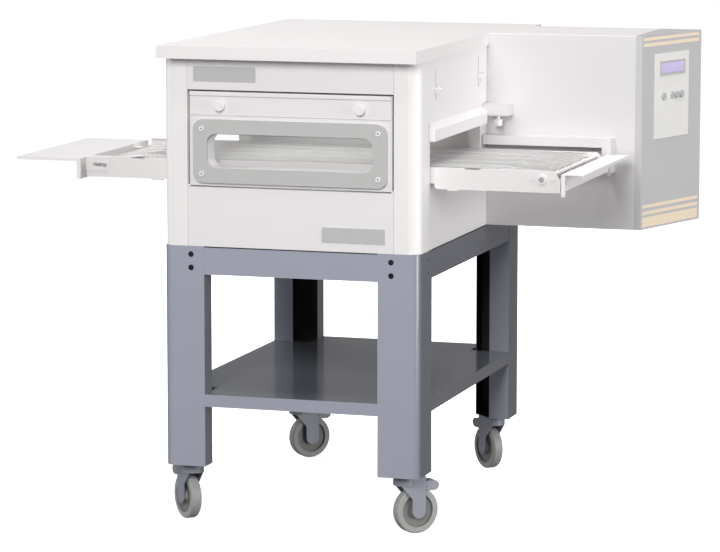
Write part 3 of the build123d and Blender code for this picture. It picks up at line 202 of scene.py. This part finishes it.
casing_steel = brushed("casing steel", (0.790, 0.765, 0.768), (0.850, 0.825, 0.828), ALONG_X, 0.42, 0.10)
side_steel = brushed("side panel steel", (0.790, 0.770, 0.772), (0.845, 0.825, 0.828), ALONG_Y, 0.42, 0.10)
post_steel = brushed("corner post steel", (0.800, 0.775, 0.775), (0.860, 0.835, 0.833), UPRIGHT, 0.52, 0.05)
cover_steel = brushed("top cover steel", (0.800, 0.770, 0.770), (0.860, 0.830, 0.830), ALONG_X, 0.40, 0.08)
box_steel = brushed("control box steel", (0.665, 0.648, 0.651), (0.720, 0.702, 0.705), ALONG_X, 0.30, 0.12)
rail_steel = brushed("conveyor rail steel", (0.800, 0.775, 0.772), (0.860, 0.835, 0.832), ALONG_X, 0.38, 0.12)
table_steel = brushed("table steel", (0.850, 0.830, 0.826), (0.905, 0.885, 0.880), ALONG_Y, 0.34, 0.12)
chamber_steel = brushed("chamber steel", (0.740, 0.732, 0.725), (0.820, 0.812, 0.802), ALONG_X, 0.44, 0.20)
duct_steel = brushed("jet duct steel", (0.520, 0.512, 0.500), (0.640, 0.630, 0.615), ALONG_Y, 0.42, 0.35)
bright_steel = brushed("screw and shaft steel", (0.760, 0.750, 0.745), (0.860, 0.850, 0.845), UPRIGHT,
                       0.24, 0.75)
zinc = brushed("zinc plated castor steel", (0.250, 0.263, 0.306), (0.302, 0.316, 0.365), EVEN,
               0.40, 0.15, 0.00005)

bezel_enamel = powder_coat("window bezel enamel", (0.485, 0.483, 0.478), (0.520, 0.518, 0.513), 0.42, 0.25)
fascia_enamel = powder_coat("fascia enamel", (0.500, 0.490, 0.494), (0.545, 0.536, 0.540), 0.46, 0.15)
motor_enamel = powder_coat("motor enamel", (0.190, 0.198, 0.207), (0.240, 0.250, 0.260), 0.45, 0.10)


def stand_paint():
    """Gloss blue-grey paint outside the stand; the inside of each leg is coloured near black as painted
    shade.

    The legs are folded angles with a rounded outer bend, one at each corner of the stand."""
    finish = Finish("stand paint")
    across, deep, up = finish.along()
    half_width = (stand_high.x - stand_low.x) / 2
    half_depth = (stand_high.y - stand_low.y) / 2
    from_side = half_width - abs(across - (stand_low.x + half_width))
    from_end = half_depth - abs(deep - (stand_low.y + half_depth))
    bend, skin, leg_width, leg_depth = 0.020, 0.001, 0.096, 0.100
    corner_side = (bend - from_side).at_least(0.0)
    corner_end = (bend - from_end).at_least(0.0)
    inside_bend = (corner_side * corner_side + corner_end * corner_end) < (bend - skin) ** 2
    inside_width = from_side < leg_width - skin
    inside_depth = from_end < leg_depth - skin
    off_foot = up > stand_low.z + skin
    # painted shade: marks the inside of each leg, coloured near black to stand in for the shade there
    painted_shade_hollow = inside_bend * inside_width * inside_depth * off_foot
    drift = finish.noise(2.4, 3.0)
    texture = finish.noise(700.0, 2.0)
    scuffs = finish.noise(30.0, 6.0, None, 0.75)
    paint = finish.mix(drift, (0.372, 0.386, 0.462), (0.420, 0.436, 0.518))
    return finish.surface({
        "Base Color": finish.mix(painted_shade_hollow, paint, (0.022, 0.022, 0.024)),
        "Roughness": (0.24 + (scuffs - 0.5) * 0.04 + painted_shade_hollow * 0.35).kept_in_range(),
        "Normal": finish.bump(texture, 0.00001, 0.15),
        "Coat Weight": 0.20 - painted_shade_hollow * 0.20,
        "Coat Roughness": 0.10,
    })


def shelf_paint():
    """The stand's blue-grey on the shelf's skirt, and the same paint made darker on its top as painted shade,
    with light rub marks from pans.
    """
    finish = Finish("shelf paint")
    drift = finish.noise(2.0, 3.0)
    texture = finish.noise(700.0, 2.0)
    rubs = finish.noise(8.0, 6.0, (1.0, 14.0, 1.0), 0.7)
    up = finish.along()[2]
    skin = 0.0006
    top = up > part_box("shelf_tray")[1].z - skin
    skirt = finish.mix(drift, (0.372, 0.386, 0.462), (0.420, 0.436, 0.518))
    # painted shade: the shelf's top is the skirt's paint made darker, standing in for the shade under the
    # oven
    painted_shade_deck = finish.mix(drift, (0.175, 0.184, 0.216), (0.205, 0.215, 0.250))
    return finish.surface({
        "Base Color": finish.mix(top, skirt, painted_shade_deck),
        "Roughness": (0.20 + (rubs - 0.5) * 0.14).kept_in_range(),
        "Normal": finish.bump(texture, 0.00002, 0.4),
        "Coat Weight": 0.6,
        "Coat Roughness": 0.08,
    })


def moulded(name, dark, light, roughness, grain_scale=900.0, depth=0.00003, level=0.5):
    """Moulded plastic or rubber, or a flat near black standing in for shade, with a fine grain."""
    finish = Finish(name)
    grain = finish.noise(grain_scale, 2.0)
    drift = finish.noise(22.0, 3.0)
    return finish.surface({
        "Base Color": finish.mix(drift, dark, light),
        "Roughness": (roughness + (grain - 0.5) * 0.15).kept_in_range(),
        "Normal": finish.bump(grain, depth, 0.5),
        "Specular IOR Level": level,
    })


def window_pane():
    """Toughened glass with a faint haze of baked-on grease, heavier low down."""
    finish = Finish("oven window glass")
    up = finish.along()[2]
    low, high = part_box("window_glass")
    haze = finish.noise(30.0, 5.0, (1.0, 1.0, 0.5), 0.7)
    lower = ((high.z - up) / (high.z - low.z)).kept_in_range()
    return finish.surface({
        "Base Color": finish.mix(haze, (0.80, 0.80, 0.80), (0.90, 0.90, 0.89)),
        "Roughness": (0.03 + haze * 0.08).kept_in_range(),
        "Alpha": (0.10 + lower * 0.04 + (haze - 0.5) * 0.06).kept_in_range(),
    })


def display_glow():
    """A small display: lavender film, lit from behind, with a painted sheen that brightens it towards its
    top, and faint bands.
    """
    finish = Finish("display film")
    up = finish.along()[2]
    low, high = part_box("display_screen")
    # painted sheen: the display is made brighter towards its top
    painted_sheen_rise = ((up - low.z) / (high.z - low.z)).kept_in_range()
    bands = finish.output("TexWave", {"wave_type": "BANDS", "bands_direction": "Z"},
                          {"Vector": finish.where(), "Scale": 160.0, "Distortion": 0.0})
    cloud = finish.noise(60.0, 2.0)
    tone = finish.mix((painted_sheen_rise * 0.6 + cloud * 0.3 + bands * 0.1).kept_in_range(),
                      (0.50, 0.43, 0.66), (0.62, 0.55, 0.80))
    return finish.surface({
        "Base Color": tone,
        "Roughness": (0.18 + cloud * 0.08).kept_in_range(),
        "Emission Color": tone,
        "Emission Strength": 0.12,
    })


def stripe_print():
    """Warm cream stripe, screen printed, with a little thinning where the ink is worn."""
    finish = Finish("cream stripe ink")
    grain = finish.noise(420.0, 3.0)
    wear = finish.noise(26.0, 5.0, None, 0.7)
    return finish.surface({
        "Base Color": finish.mix((wear * 0.7 + grain * 0.3).kept_in_range(), (0.800, 0.660, 0.500),
                                 (0.890, 0.760, 0.600)),
        "Roughness": (0.44 + (grain - 0.5) * 0.2).kept_in_range(),
        "Normal": finish.bump(grain, 0.00002, 0.4),
    })


def panel_film():
    """Satin overlay film on the control plate."""
    finish = Finish("control plate film")
    grain = finish.noise(1100.0, 2.0)
    drift = finish.noise(9.0, 3.0)
    return finish.surface({
        "Base Color": finish.mix(drift, (0.745, 0.735, 0.715), (0.800, 0.790, 0.770)),
        "Roughness": (0.40 + (grain - 0.5) * 0.18).kept_in_range(),
        "Normal": finish.bump(grain, 0.00002, 0.5),
    })


def wheel_nylon(corner, axle):
    """Cast nylon wheel: pale rolling rim, and a darker recessed face on each side inside it as painted shade,
    slightly mottled.
    """
    finish = Finish("castor wheel nylon " + corner.replace("_", " "))
    low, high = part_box("castor_wheel_" + corner)
    hub = (low + high) / 2
    across, deep, up = finish.along()
    dx, dy, dz = across - hub.x, deep - hub.y, up - hub.z
    off_axle = dx * axle[0] + dy * axle[1]
    reach = (dx * dx + dy * dy + dz * dz - off_axle * off_axle).at_least(0.0) ** 0.5
    rim_inside, hub_radius, disc_half_width = 0.0455, 0.0135, 0.0118
    # painted shade: the recessed faces between hub and rim are coloured darker
    painted_shade_disc = (reach < rim_inside) * (abs(off_axle) < disc_half_width) * (reach > hub_radius)
    mottle = finish.noise(60.0, 4.0, None, 0.65)
    grit = finish.noise(800.0, 2.0)
    return finish.surface({
        "Base Color": finish.mix(painted_shade_disc, finish.mix(mottle, (0.300, 0.300, 0.292), (0.380, 0.380, 0.370)),
                                 finish.mix(mottle, (0.165, 0.165, 0.160), (0.215, 0.215, 0.209))),
        "Roughness": (0.48 + (mottle - 0.5) * 0.22).kept_in_range(),
        "Normal": finish.bump(grit, 0.00005, 0.5),
    })


def name_plate():
    """Blank enamelled plate: a grey field with bright rivets that stand out in front of it."""
    finish = Finish("blank name plate enamel")
    deep = finish.along()[1]
    rivet_stands_out = 0.0005
    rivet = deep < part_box("name_plates")[0].y + rivet_stands_out
    peel = finish.noise(620.0, 2.0)
    drift = finish.noise(12.0, 3.0)
    field = finish.mix(drift, (0.480, 0.478, 0.476), (0.520, 0.518, 0.516))
    return finish.surface({
        "Base Color": finish.mix(rivet, field, (0.780, 0.770, 0.765)),
        "Metallic": rivet * 0.5,
        "Roughness": (0.36 + (drift - 0.5) * 0.1 - rivet * 0.1).kept_in_range(),
        "Normal": finish.bump(peel, 0.00003, 0.4),
    })


def bezel_screw():
    """Bright pan-head screws, with painted shade: a dark spot in the middle of each stands in for the shade
    in its socket.
    """
    finish = Finish("bezel screw steel")
    across, _, up = finish.along()
    low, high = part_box("bezel_screws")
    head, socket = 0.0055, 0.0022
    from_side = (high.x - low.x) / 2 - abs(across - (low.x + high.x) / 2) - head
    from_end = (high.z - low.z) / 2 - abs(up - (low.z + high.z) / 2) - head
    # painted shade: the socket in each head is coloured dark
    dark = (from_side * from_side + from_end * from_end) < socket ** 2
    turned = finish.noise(1.0, 2.0, (1400.0, 60.0, 1400.0))
    steel = finish.mix(turned, (0.840, 0.830, 0.825), (0.920, 0.910, 0.905))
    return finish.surface({
        "Base Color": finish.mix(dark, steel, (0.200, 0.198, 0.196)),
        "Metallic": 0.10,
        "Roughness": (0.28 + turned * 0.10 + dark * 0.2).kept_in_range(),
    })


def belt_wire():
    """Stainless wire, a touch browned by heat here and there."""
    finish = Finish("belt wire steel")
    heat = finish.noise(9.0, 4.0)
    drawn = finish.noise(1.0, 2.0, (1800.0, 30.0, 1800.0))
    return finish.surface({
        "Base Color": finish.mix(heat, (0.800, 0.790, 0.780), (0.920, 0.912, 0.905)),
        "Metallic": 0.12,
        "Roughness": (0.30 + drawn * 0.14).kept_in_range(),
    })


paint = stand_paint()
wire_steel = belt_wire()
stripe_ink = stripe_print()
rubber = moulded("button rubber", (0.420, 0.425, 0.430), (0.480, 0.485, 0.490), 0.62)
knob_plastic = moulded("door knob plastic", (0.770, 0.755, 0.755), (0.830, 0.815, 0.815), 0.40)
# painted shade: near-black finish standing in for the shade inside the legs, behind the screw holes
painted_shade_black = moulded("black primed steel", (0.010, 0.010, 0.011), (0.016, 0.016, 0.017), 0.60, level=0.2)
seal_silicone = moulded("door seal silicone", (0.760, 0.745, 0.740), (0.820, 0.805, 0.800), 0.55)
gland_plastic = moulded("cable gland plastic", (0.060, 0.060, 0.062), (0.090, 0.090, 0.092), 0.55)

finish_of = {
    "stand_legs": paint,
    "stand_rails": paint,
    "shelf_tray": shelf_paint(),
    "castor_plates": zinc,
    "top_cover": cover_steel,
    "front_panels": casing_steel,
    "corner_posts": post_steel,
    "side_panels": side_steel,
    "back_panel": casing_steel,
    "base_pan": casing_steel,
    "chamber_liner": chamber_steel,
    "jet_ducts": duct_steel,
    "heating_elements": motor_enamel,
    "circulation_fan": bright_steel,
    "fan_motor": motor_enamel,
    "control_box": box_steel,
    "rear_guard": box_steel,
    "side_bracket": box_steel,
    "fascia_housing": fascia_enamel,
    "control_plate": panel_film(),
    "display_bezel": bezel_enamel,
    "display_screen": display_glow(),
    "start_button": rubber,
    "menu_button": rubber,
    "lower_button": rubber,
    "raise_button": rubber,
    "door_panel": casing_steel,
    "knob_strip": casing_steel,
    "window_bezel": bezel_enamel,
    "window_glass": window_pane(),
    "door_knobs": knob_plastic,
    "bezel_screws": bezel_screw(),
    "hood_left": side_steel,
    "hood_right": side_steel,
    "wing_nut_left_front": bright_steel,
    "wing_nut_left_rear": bright_steel,
    "wing_nut_right_front": bright_steel,
    "wing_nut_right_rear": bright_steel,
    "conveyor_frame": rail_steel,
    "conveyor_belt": wire_steel,
    "drive_shaft": bright_steel,
    "idler_shaft": bright_steel,
    "support_wires": bright_steel,
    "entry_table": table_steel,
    "exit_table": table_steel,
    "drive_motor": motor_enamel,
    "name_plates": name_plate(),
    "cable_gland": gland_plastic,
}
slant = math.sqrt(0.5)    # every castor is turned 45 degrees to the oven
for corner, axle in (("front_left", (slant, slant)), ("front_right", (slant, -slant)),
                     ("rear_left", (slant, -slant)), ("rear_right", (slant, slant))):
    finish_of["castor_fork_" + corner] = zinc
    finish_of["brake_pedal_" + corner] = zinc
    finish_of["castor_wheel_" + corner] = wheel_nylon(corner, axle)

for name, piece in nodes.items():
    piece.data.materials.clear()
    piece.data.materials.append(finish_of[name])


# ------------------------------------------------------------------ making pieces
def finished(name, mesh, finish, body, smooth=True):
    """Turn a built mesh into a named piece that rides with a body."""
    data = bpy.data.meshes.new(name)
    bmesh.ops.recalc_face_normals(mesh, faces=mesh.faces)
    mesh.to_mesh(data)
    mesh.free()
    for face in data.polygons:
        face.use_smooth = smooth
    piece = bpy.data.objects.new(name, data)
    bpy.context.scene.collection.objects.link(piece)
    data.materials.append(finish)
    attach(piece, body)
    return piece


def bend_wire(mesh, points, radius, sides):
    """Sweep a round wire through points, closing both ends."""
    rings = []
    last = len(points) - 1
    for index, point in enumerate(points):
        ahead = points[min(index + 1, last)] - points[max(index - 1, 0)]
        ahead.normalize()
        up = Vector((0, 0, 1)) if abs(ahead.z) < 0.9 else Vector((1, 0, 0))
        aside = ahead.cross(up).normalized()
        over = aside.cross(ahead)
        ring = []
        for side in range(sides):
            turn = 2 * math.pi * side / sides
            ring.append(mesh.verts.new(point + radius * (math.cos(turn) * aside + math.sin(turn) * over)))
        rings.append(ring)
    for first, second in zip(rings, rings[1:]):
        for side in range(sides):
            beside = (side + 1) % sides
            mesh.faces.new((first[side], first[beside], second[beside], second[side]))
    mesh.faces.new(rings[0])
    mesh.faces.new(list(reversed(rings[-1])))


def raised_strip(mesh, corners, out, thickness, rim):
    """A thin flat strip laid on a face, its rim sloped."""
    middle = sum(corners, Vector()) / len(corners)
    base = [mesh.verts.new(corner) for corner in corners]
    inner = []
    for corner in corners:
        inward = (middle - corner)
        inward.normalize()
        inner.append(mesh.verts.new(corner + inward * rim + out * thickness))
    count = len(corners)
    for index in range(count):
        beside = (index + 1) % count
        mesh.faces.new((base[index], base[beside], inner[beside], inner[index]))
    mesh.faces.new(inner)
    mesh.faces.new(list(reversed(base)))


# ------------------------------------------------------------------ the wire belt
wire_radius = 0.00100
wave_height = 0.0003
belt_half = wire_radius + wave_height
shaft_up = (drive_low.z + drive_high.z) / 2
drive_along = (drive_low.x + drive_high.x) / 2
idler_along = (idler_low.x + idler_high.x) / 2
end_radius = belt_high.x - drive_along - belt_half
level_left = stand_left - 0.096      # the belt is level between these two, and slopes to its shafts
level_right = stand_left + 0.760
belt_level = belt_high.z - belt_half
link_pitch = 0.0066
link_rows = 9
hook_width = 0.0035
sway = 0.30        # how far a wire leans from its own line, in pitches
hook_sway = 2.3    # how much further it leans at a hook
hook_lift = 0.7    # how far it rises or dips there, in wave heights
turn_steps = 12
wire_sides = 5
edge_gap = 0.001


def half_turn(shaft_along, start):
    """The belt's path round one shaft, from a starting angle and turning downstream."""
    turns = [start - math.pi * step / turn_steps for step in range(turn_steps + 1)]
    return [Vector((shaft_along + end_radius * math.cos(turn), 0, shaft_up + end_radius * math.sin(turn)))
            for turn in turns]


def belt_round():
    """The belt's path seen from the front: along the top, round the drive end, back below and up."""
    level_start = Vector((level_left, 0, belt_level))
    level_end = Vector((level_right, 0, belt_level))
    drive_end = half_turn(drive_along, math.pi / 2)
    idler_end = half_turn(idler_along, -math.pi / 2)
    return [level_start, level_end, *drive_end, *idler_end, level_start.copy()]


def point_on(path, distance):
    """The point a given distance along a path, and the way the path runs there."""
    for start, end in zip(path, path[1:]):
        length = (end - start).length
        if distance <= length:
            way = (end - start) / length
            return start + way * distance, way
        distance -= length
    way = (path[-1] - path[-2]).normalized()
    return path[-1].copy(), way


def wire_belt():
    """Wires across the belt, each leaning to and fro from row to row, with a hook between rows."""
    path = belt_round()
    whole = sum((end - start).length for start, end in zip(path, path[1:]))
    count = int(whole / link_pitch)
    pitch = whole / count
    near, far = belt_low.y + edge_gap, belt_high.y - edge_gap
    row = (far - near) / link_rows
    mesh = bmesh.new()
    for wire in range(count):
        start, way = point_on(path, wire * pitch)
        square = Vector((-way.z, 0, way.x))
        points = []
        for link in range(link_rows):
            edge = near + row * link
            ahead = sway if link % 2 == 0 else -sway
            stations = ((0.0, ahead, 0.0), (row - 2 * hook_width, ahead, 0.0),
                        (row - 1.5 * hook_width, ahead * hook_sway, hook_lift),
                        (row - 0.5 * hook_width, -ahead * hook_sway, -hook_lift))
            for reach, shift, lift in stations:
                spot = start + way * (shift * pitch) + square * (lift * wave_height)
                points.append(Vector((spot.x, edge + reach, spot.z)))
        points.append(Vector((points[-1].x, far, points[-1].z)))
        bend_wire(mesh, points, wire_radius, wire_sides)
    belt = finished("wire_belt", mesh, wire_steel, "oven")
    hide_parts("conveyor_belt")
    return belt


wire_belt()


# ------------------------------------------------------------------ stripes and marks on the fascia
fascia_from_left, fascia_from_front = 0.9666, 0.563
fascia_start = Vector((stand_left + fascia_from_left, stand_front + fascia_from_front, 0))
fascia_end = Vector((fascia_high.x, fascia_high.y, 0))
fascia_way = (fascia_end - fascia_start).normalized()
fascia_out = Vector((fascia_way.y, -fascia_way.x, 0))


def on_fascia(along, height, out=0.0):
    """A point on the sloping fascia: along it from its near edge, at a height, and out from it."""
    spot = fascia_start + fascia_way * along + fascia_out * out
    return Vector((spot.x, spot.y, height))


def fascia_patch(near, far, bottom, top, out=0.0):
    """The four corners of an upright rectangle on the fascia."""
    return [on_fascia(near, bottom, out), on_fascia(far, bottom, out), on_fascia(far, top, out),
            on_fascia(near, top, out)]


def stripes():
    """Two stripes near the top of the fascia and three near its foot, the lowest one broad."""
    mesh = bmesh.new()
    near, far, thickness, rim = 0.007, 0.262, 0.00025, 0.0002
    for bottom, top in ((1.075, 1.082), (1.061, 1.069), (0.6865, 0.694), (0.671, 0.679), (0.642, 0.665)):
        raised_strip(mesh, fascia_patch(near, far, bottom, top), fascia_out, thickness, rim)
    return finished("fascia_stripes", mesh, stripe_ink, "oven", smooth=False)


def button_marks():
    """Blank dashes over and under the buttons, where their legends would be."""
    mesh = bmesh.new()
    plate_face, half_height, thickness, rim = 0.00085, 0.0008, 0.0001, 0.0001
    over_buttons, under_buttons = 0.9575, 0.9245
    for along, width in ((0.0957, 0.013), (0.1363, 0.007), (0.1566, 0.007), (0.1769, 0.009)):
        for height in (over_buttons, under_buttons):
            corners = fascia_patch(along - width / 2, along + width / 2, height - half_height,
                                   height + half_height, plate_face)
            raised_strip(mesh, corners, fascia_out, thickness, rim)
    return finished("button_dashes", mesh, bezel_enamel, "oven", smooth=False)


stripes()
button_marks()


# ------------------------------------------------------------------ small fittings
def rounded_block(mesh, low, high, radius, steps=3):
    """A block between two corners with its upright edges and rims softened."""
    made = bmesh.ops.create_cube(mesh, size=1.0)
    for vert in made["verts"]:
        vert.co = Vector((low[axis] if vert.co[axis] < 0 else high[axis] for axis in range(3)))
    edges = list({edge for vert in made["verts"] for edge in vert.link_edges})
    bmesh.ops.bevel(mesh, geom=edges, offset=radius, segments=steps, affect="EDGES", profile=0.5)


def nut_plates():
    """Plates with captive nuts inside each leg behind its two rail screws' holes, coloured near black as
    painted shade so the holes read dark.
    """
    mesh = bmesh.new()
    leg_sheet, behind = 0.002, 0.0003
    hole_from_corner, hole_drops = 0.065, (0.019, 0.049)
    plate_half, plate_thickness, plate_drops, plate_round = 0.013, 0.003, (0.062, 0.006), 0.0012
    nut_half, nut_reach, nut_round = 0.0055, (0.0032, 0.0092), 0.0014
    top = stand_high.z
    for hole in (stand_low.x + hole_from_corner, stand_high.x - hole_from_corner):
        for inward in (1, -1):
            face = (stand_low.y + leg_sheet) if inward > 0 else (stand_high.y - leg_sheet)
            near, far = sorted((face + inward * behind, face + inward * (behind + plate_thickness)))
            rounded_block(mesh, (hole - plate_half, near, top - plate_drops[0]),
                          (hole + plate_half, far, top - plate_drops[1]), plate_round)
            nut_near, nut_far = sorted(face + inward * reach for reach in nut_reach)
            for drop in hole_drops:
                rounded_block(mesh, (hole - nut_half, nut_near, top - drop - nut_half),
                              (hole + nut_half, nut_far, top - drop + nut_half), nut_round)
    return finished("nut_plates", mesh, painted_shade_black, "oven")


def door_seals():
    """Pale silicone beads in the gaps at each side of the door, held by the oven."""
    mesh = bmesh.new()
    door_low, door_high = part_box("door_panel")
    panel_low, panel_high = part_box("front_panels")
    bead, bead_sides, spans = 0.0018, 10, 24
    off_door, off_end, set_back = 0.0005, 0.004, 0.0075
    run = door_high.z - door_low.z - 2 * off_end
    for post, edge in ((panel_low.x, door_low.x), (panel_high.x, door_high.x)):
        outward = 1 if post > edge else -1
        x = edge + outward * (off_door + bead)
        points = [Vector((x, stand_front + set_back, door_low.z + off_end + step * run / spans))
                  for step in range(spans + 1)]
        bend_wire(mesh, points, bead, bead_sides)
    return finished("door_seals", mesh, seal_silicone, "oven")


nut_plates()
door_seals()

# ------------------------------------------------------------------ studio
scene = bpy.context.scene
scene.view_settings.view_transform = "Standard"
scene.view_settings.look = "None"


def camera():
    """A long lens, a little above the cover and well off to the right of the door."""
    data = bpy.data.cameras.new("camera")
    data.sensor_width = 36.0
    data.lens = 172.95
    data.clip_end = 100.0
    eye = bpy.data.objects.new("camera", data)
    from_left, from_front, up = 2.71282, 7.21938, 1.66055
    looking_down, turned = math.radians(8.092), math.radians(17.318)
    eye.location = (stand_low.x + from_left, stand_low.y - from_front, up)
    eye.rotation_euler = (math.radians(90) - looking_down, 0, turned)
    scene.collection.objects.link(eye)
    scene.camera = eye


def floor():
    """A plain white floor, bright to look at, that throws no light back on the oven."""
    mesh = bmesh.new()
    bmesh.ops.create_grid(mesh, x_segments=24, y_segments=24, size=30.0)
    data = bpy.data.meshes.new("studio_floor")
    mesh.to_mesh(data)
    mesh.free()
    piece = bpy.data.objects.new("studio_floor", data)
    scene.collection.objects.link(piece)
    under_wheels = 0.0005
    piece.location = (0, 0, -under_wheels)
    finish = Finish("studio floor paper")
    paper = finish.noise(3.0, 3.0)
    tone = finish.mix(paper, (0.90, 0.90, 0.90), (0.93, 0.93, 0.93))
    data.materials.append(finish.surface({"Base Color": tone, "Roughness": 0.9, "Emission Color": tone,
                                          "Emission Strength": 0.95}))
    piece.visible_diffuse = False
    piece.visible_glossy = False


def sky(strength):
    """Full white where the camera sees past the oven, and a softer white as light on it."""
    world = bpy.data.worlds.new("studio")
    scene.world = world
    world.use_nodes = True
    tree = world.node_tree
    tree.nodes.clear()
    path = tree.nodes.new("ShaderNodeLightPath")
    seen = tree.nodes.new("ShaderNodeBackground")
    seen.inputs["Color"].default_value = (1, 1, 1, 1)
    seen.inputs["Strength"].default_value = 1.0
    lit = tree.nodes.new("ShaderNodeBackground")
    lit.inputs["Color"].default_value = (1, 1, 1, 1)
    lit.inputs["Strength"].default_value = strength
    choice = tree.nodes.new("ShaderNodeMixShader")
    out = tree.nodes.new("ShaderNodeOutputWorld")
    tree.links.new(path.outputs["Is Camera Ray"], choice.inputs[0])
    tree.links.new(lit.outputs[0], choice.inputs[1])
    tree.links.new(seen.outputs[0], choice.inputs[2])
    tree.links.new(choice.outputs[0], out.inputs[0])


def softbox(name, place, target, size, power, lights=None, glints=True, diffuse=True):
    """A softbox aimed at a point, lighting everything or only the pieces given."""
    data = bpy.data.lights.new(name, "AREA")
    data.shape = "RECTANGLE"
    data.size, data.size_y = size
    data.energy = power
    lamp = bpy.data.objects.new(name, data)
    lamp.location = place
    lamp.rotation_euler = (Vector(target) - Vector(place)).to_track_quat("-Z", "Y").to_euler()
    scene.collection.objects.link(lamp)
    lamp.visible_glossy = glints
    lamp.visible_diffuse = diffuse
    if lights:
        group = bpy.data.collections.new(name + "_pieces")
        for piece in lights:
            group.objects.link(piece)
        lamp.light_linking.receiver_collection = group


camera()
floor()
sky(0.19)
stand_names = ("stand_legs", "stand_rails", "shelf_tray")
own_pieces = [piece for piece in scene.objects if piece.type == "MESH" and piece.name != "studio_floor"]
oven_pieces = [piece for piece in own_pieces if not piece.name.startswith(stand_names)]
stand_pieces = [piece for piece in own_pieces if piece.name.startswith(stand_names)]
softbox("key_softbox", (0.5, -5.8, 3.3), (0, 0, 0.6), (2.4, 2.4), 262)
softbox("top_softbox", (0.2, -0.4, 4.2), (0.1, 0, 0.8), (3.0, 3.0), 92)
softbox("right_softbox", (5.2, -1.1, 1.1), (0.2, 0, 0.8), (2.6, 2.6), 168, oven_pieces)
softbox("left_softbox", (-5.0, -1.2, 1.6), (-0.2, 0, 0.85), (2.6, 2.6), 92, oven_pieces)
softbox("bend_glint", (5.2, -1.7, 0.9), (0.2, -0.4, 0.4), (2.4, 2.6), 200, stand_pieces, diffuse=False)
softbox("back_softbox", (-2.8, 4.4, 2.8), (0, 0, 0.6), (2.6, 2.6), 160, glints=False)
duct_along, duct_deep = (duct_low.x + duct_high.x) / 2, (duct_low.y + duct_high.y) / 2
softbox("chamber_lamp", (duct_along, duct_deep, 0.905), (duct_along, duct_deep, 0.8), (0.36, 0.32), 0.45)
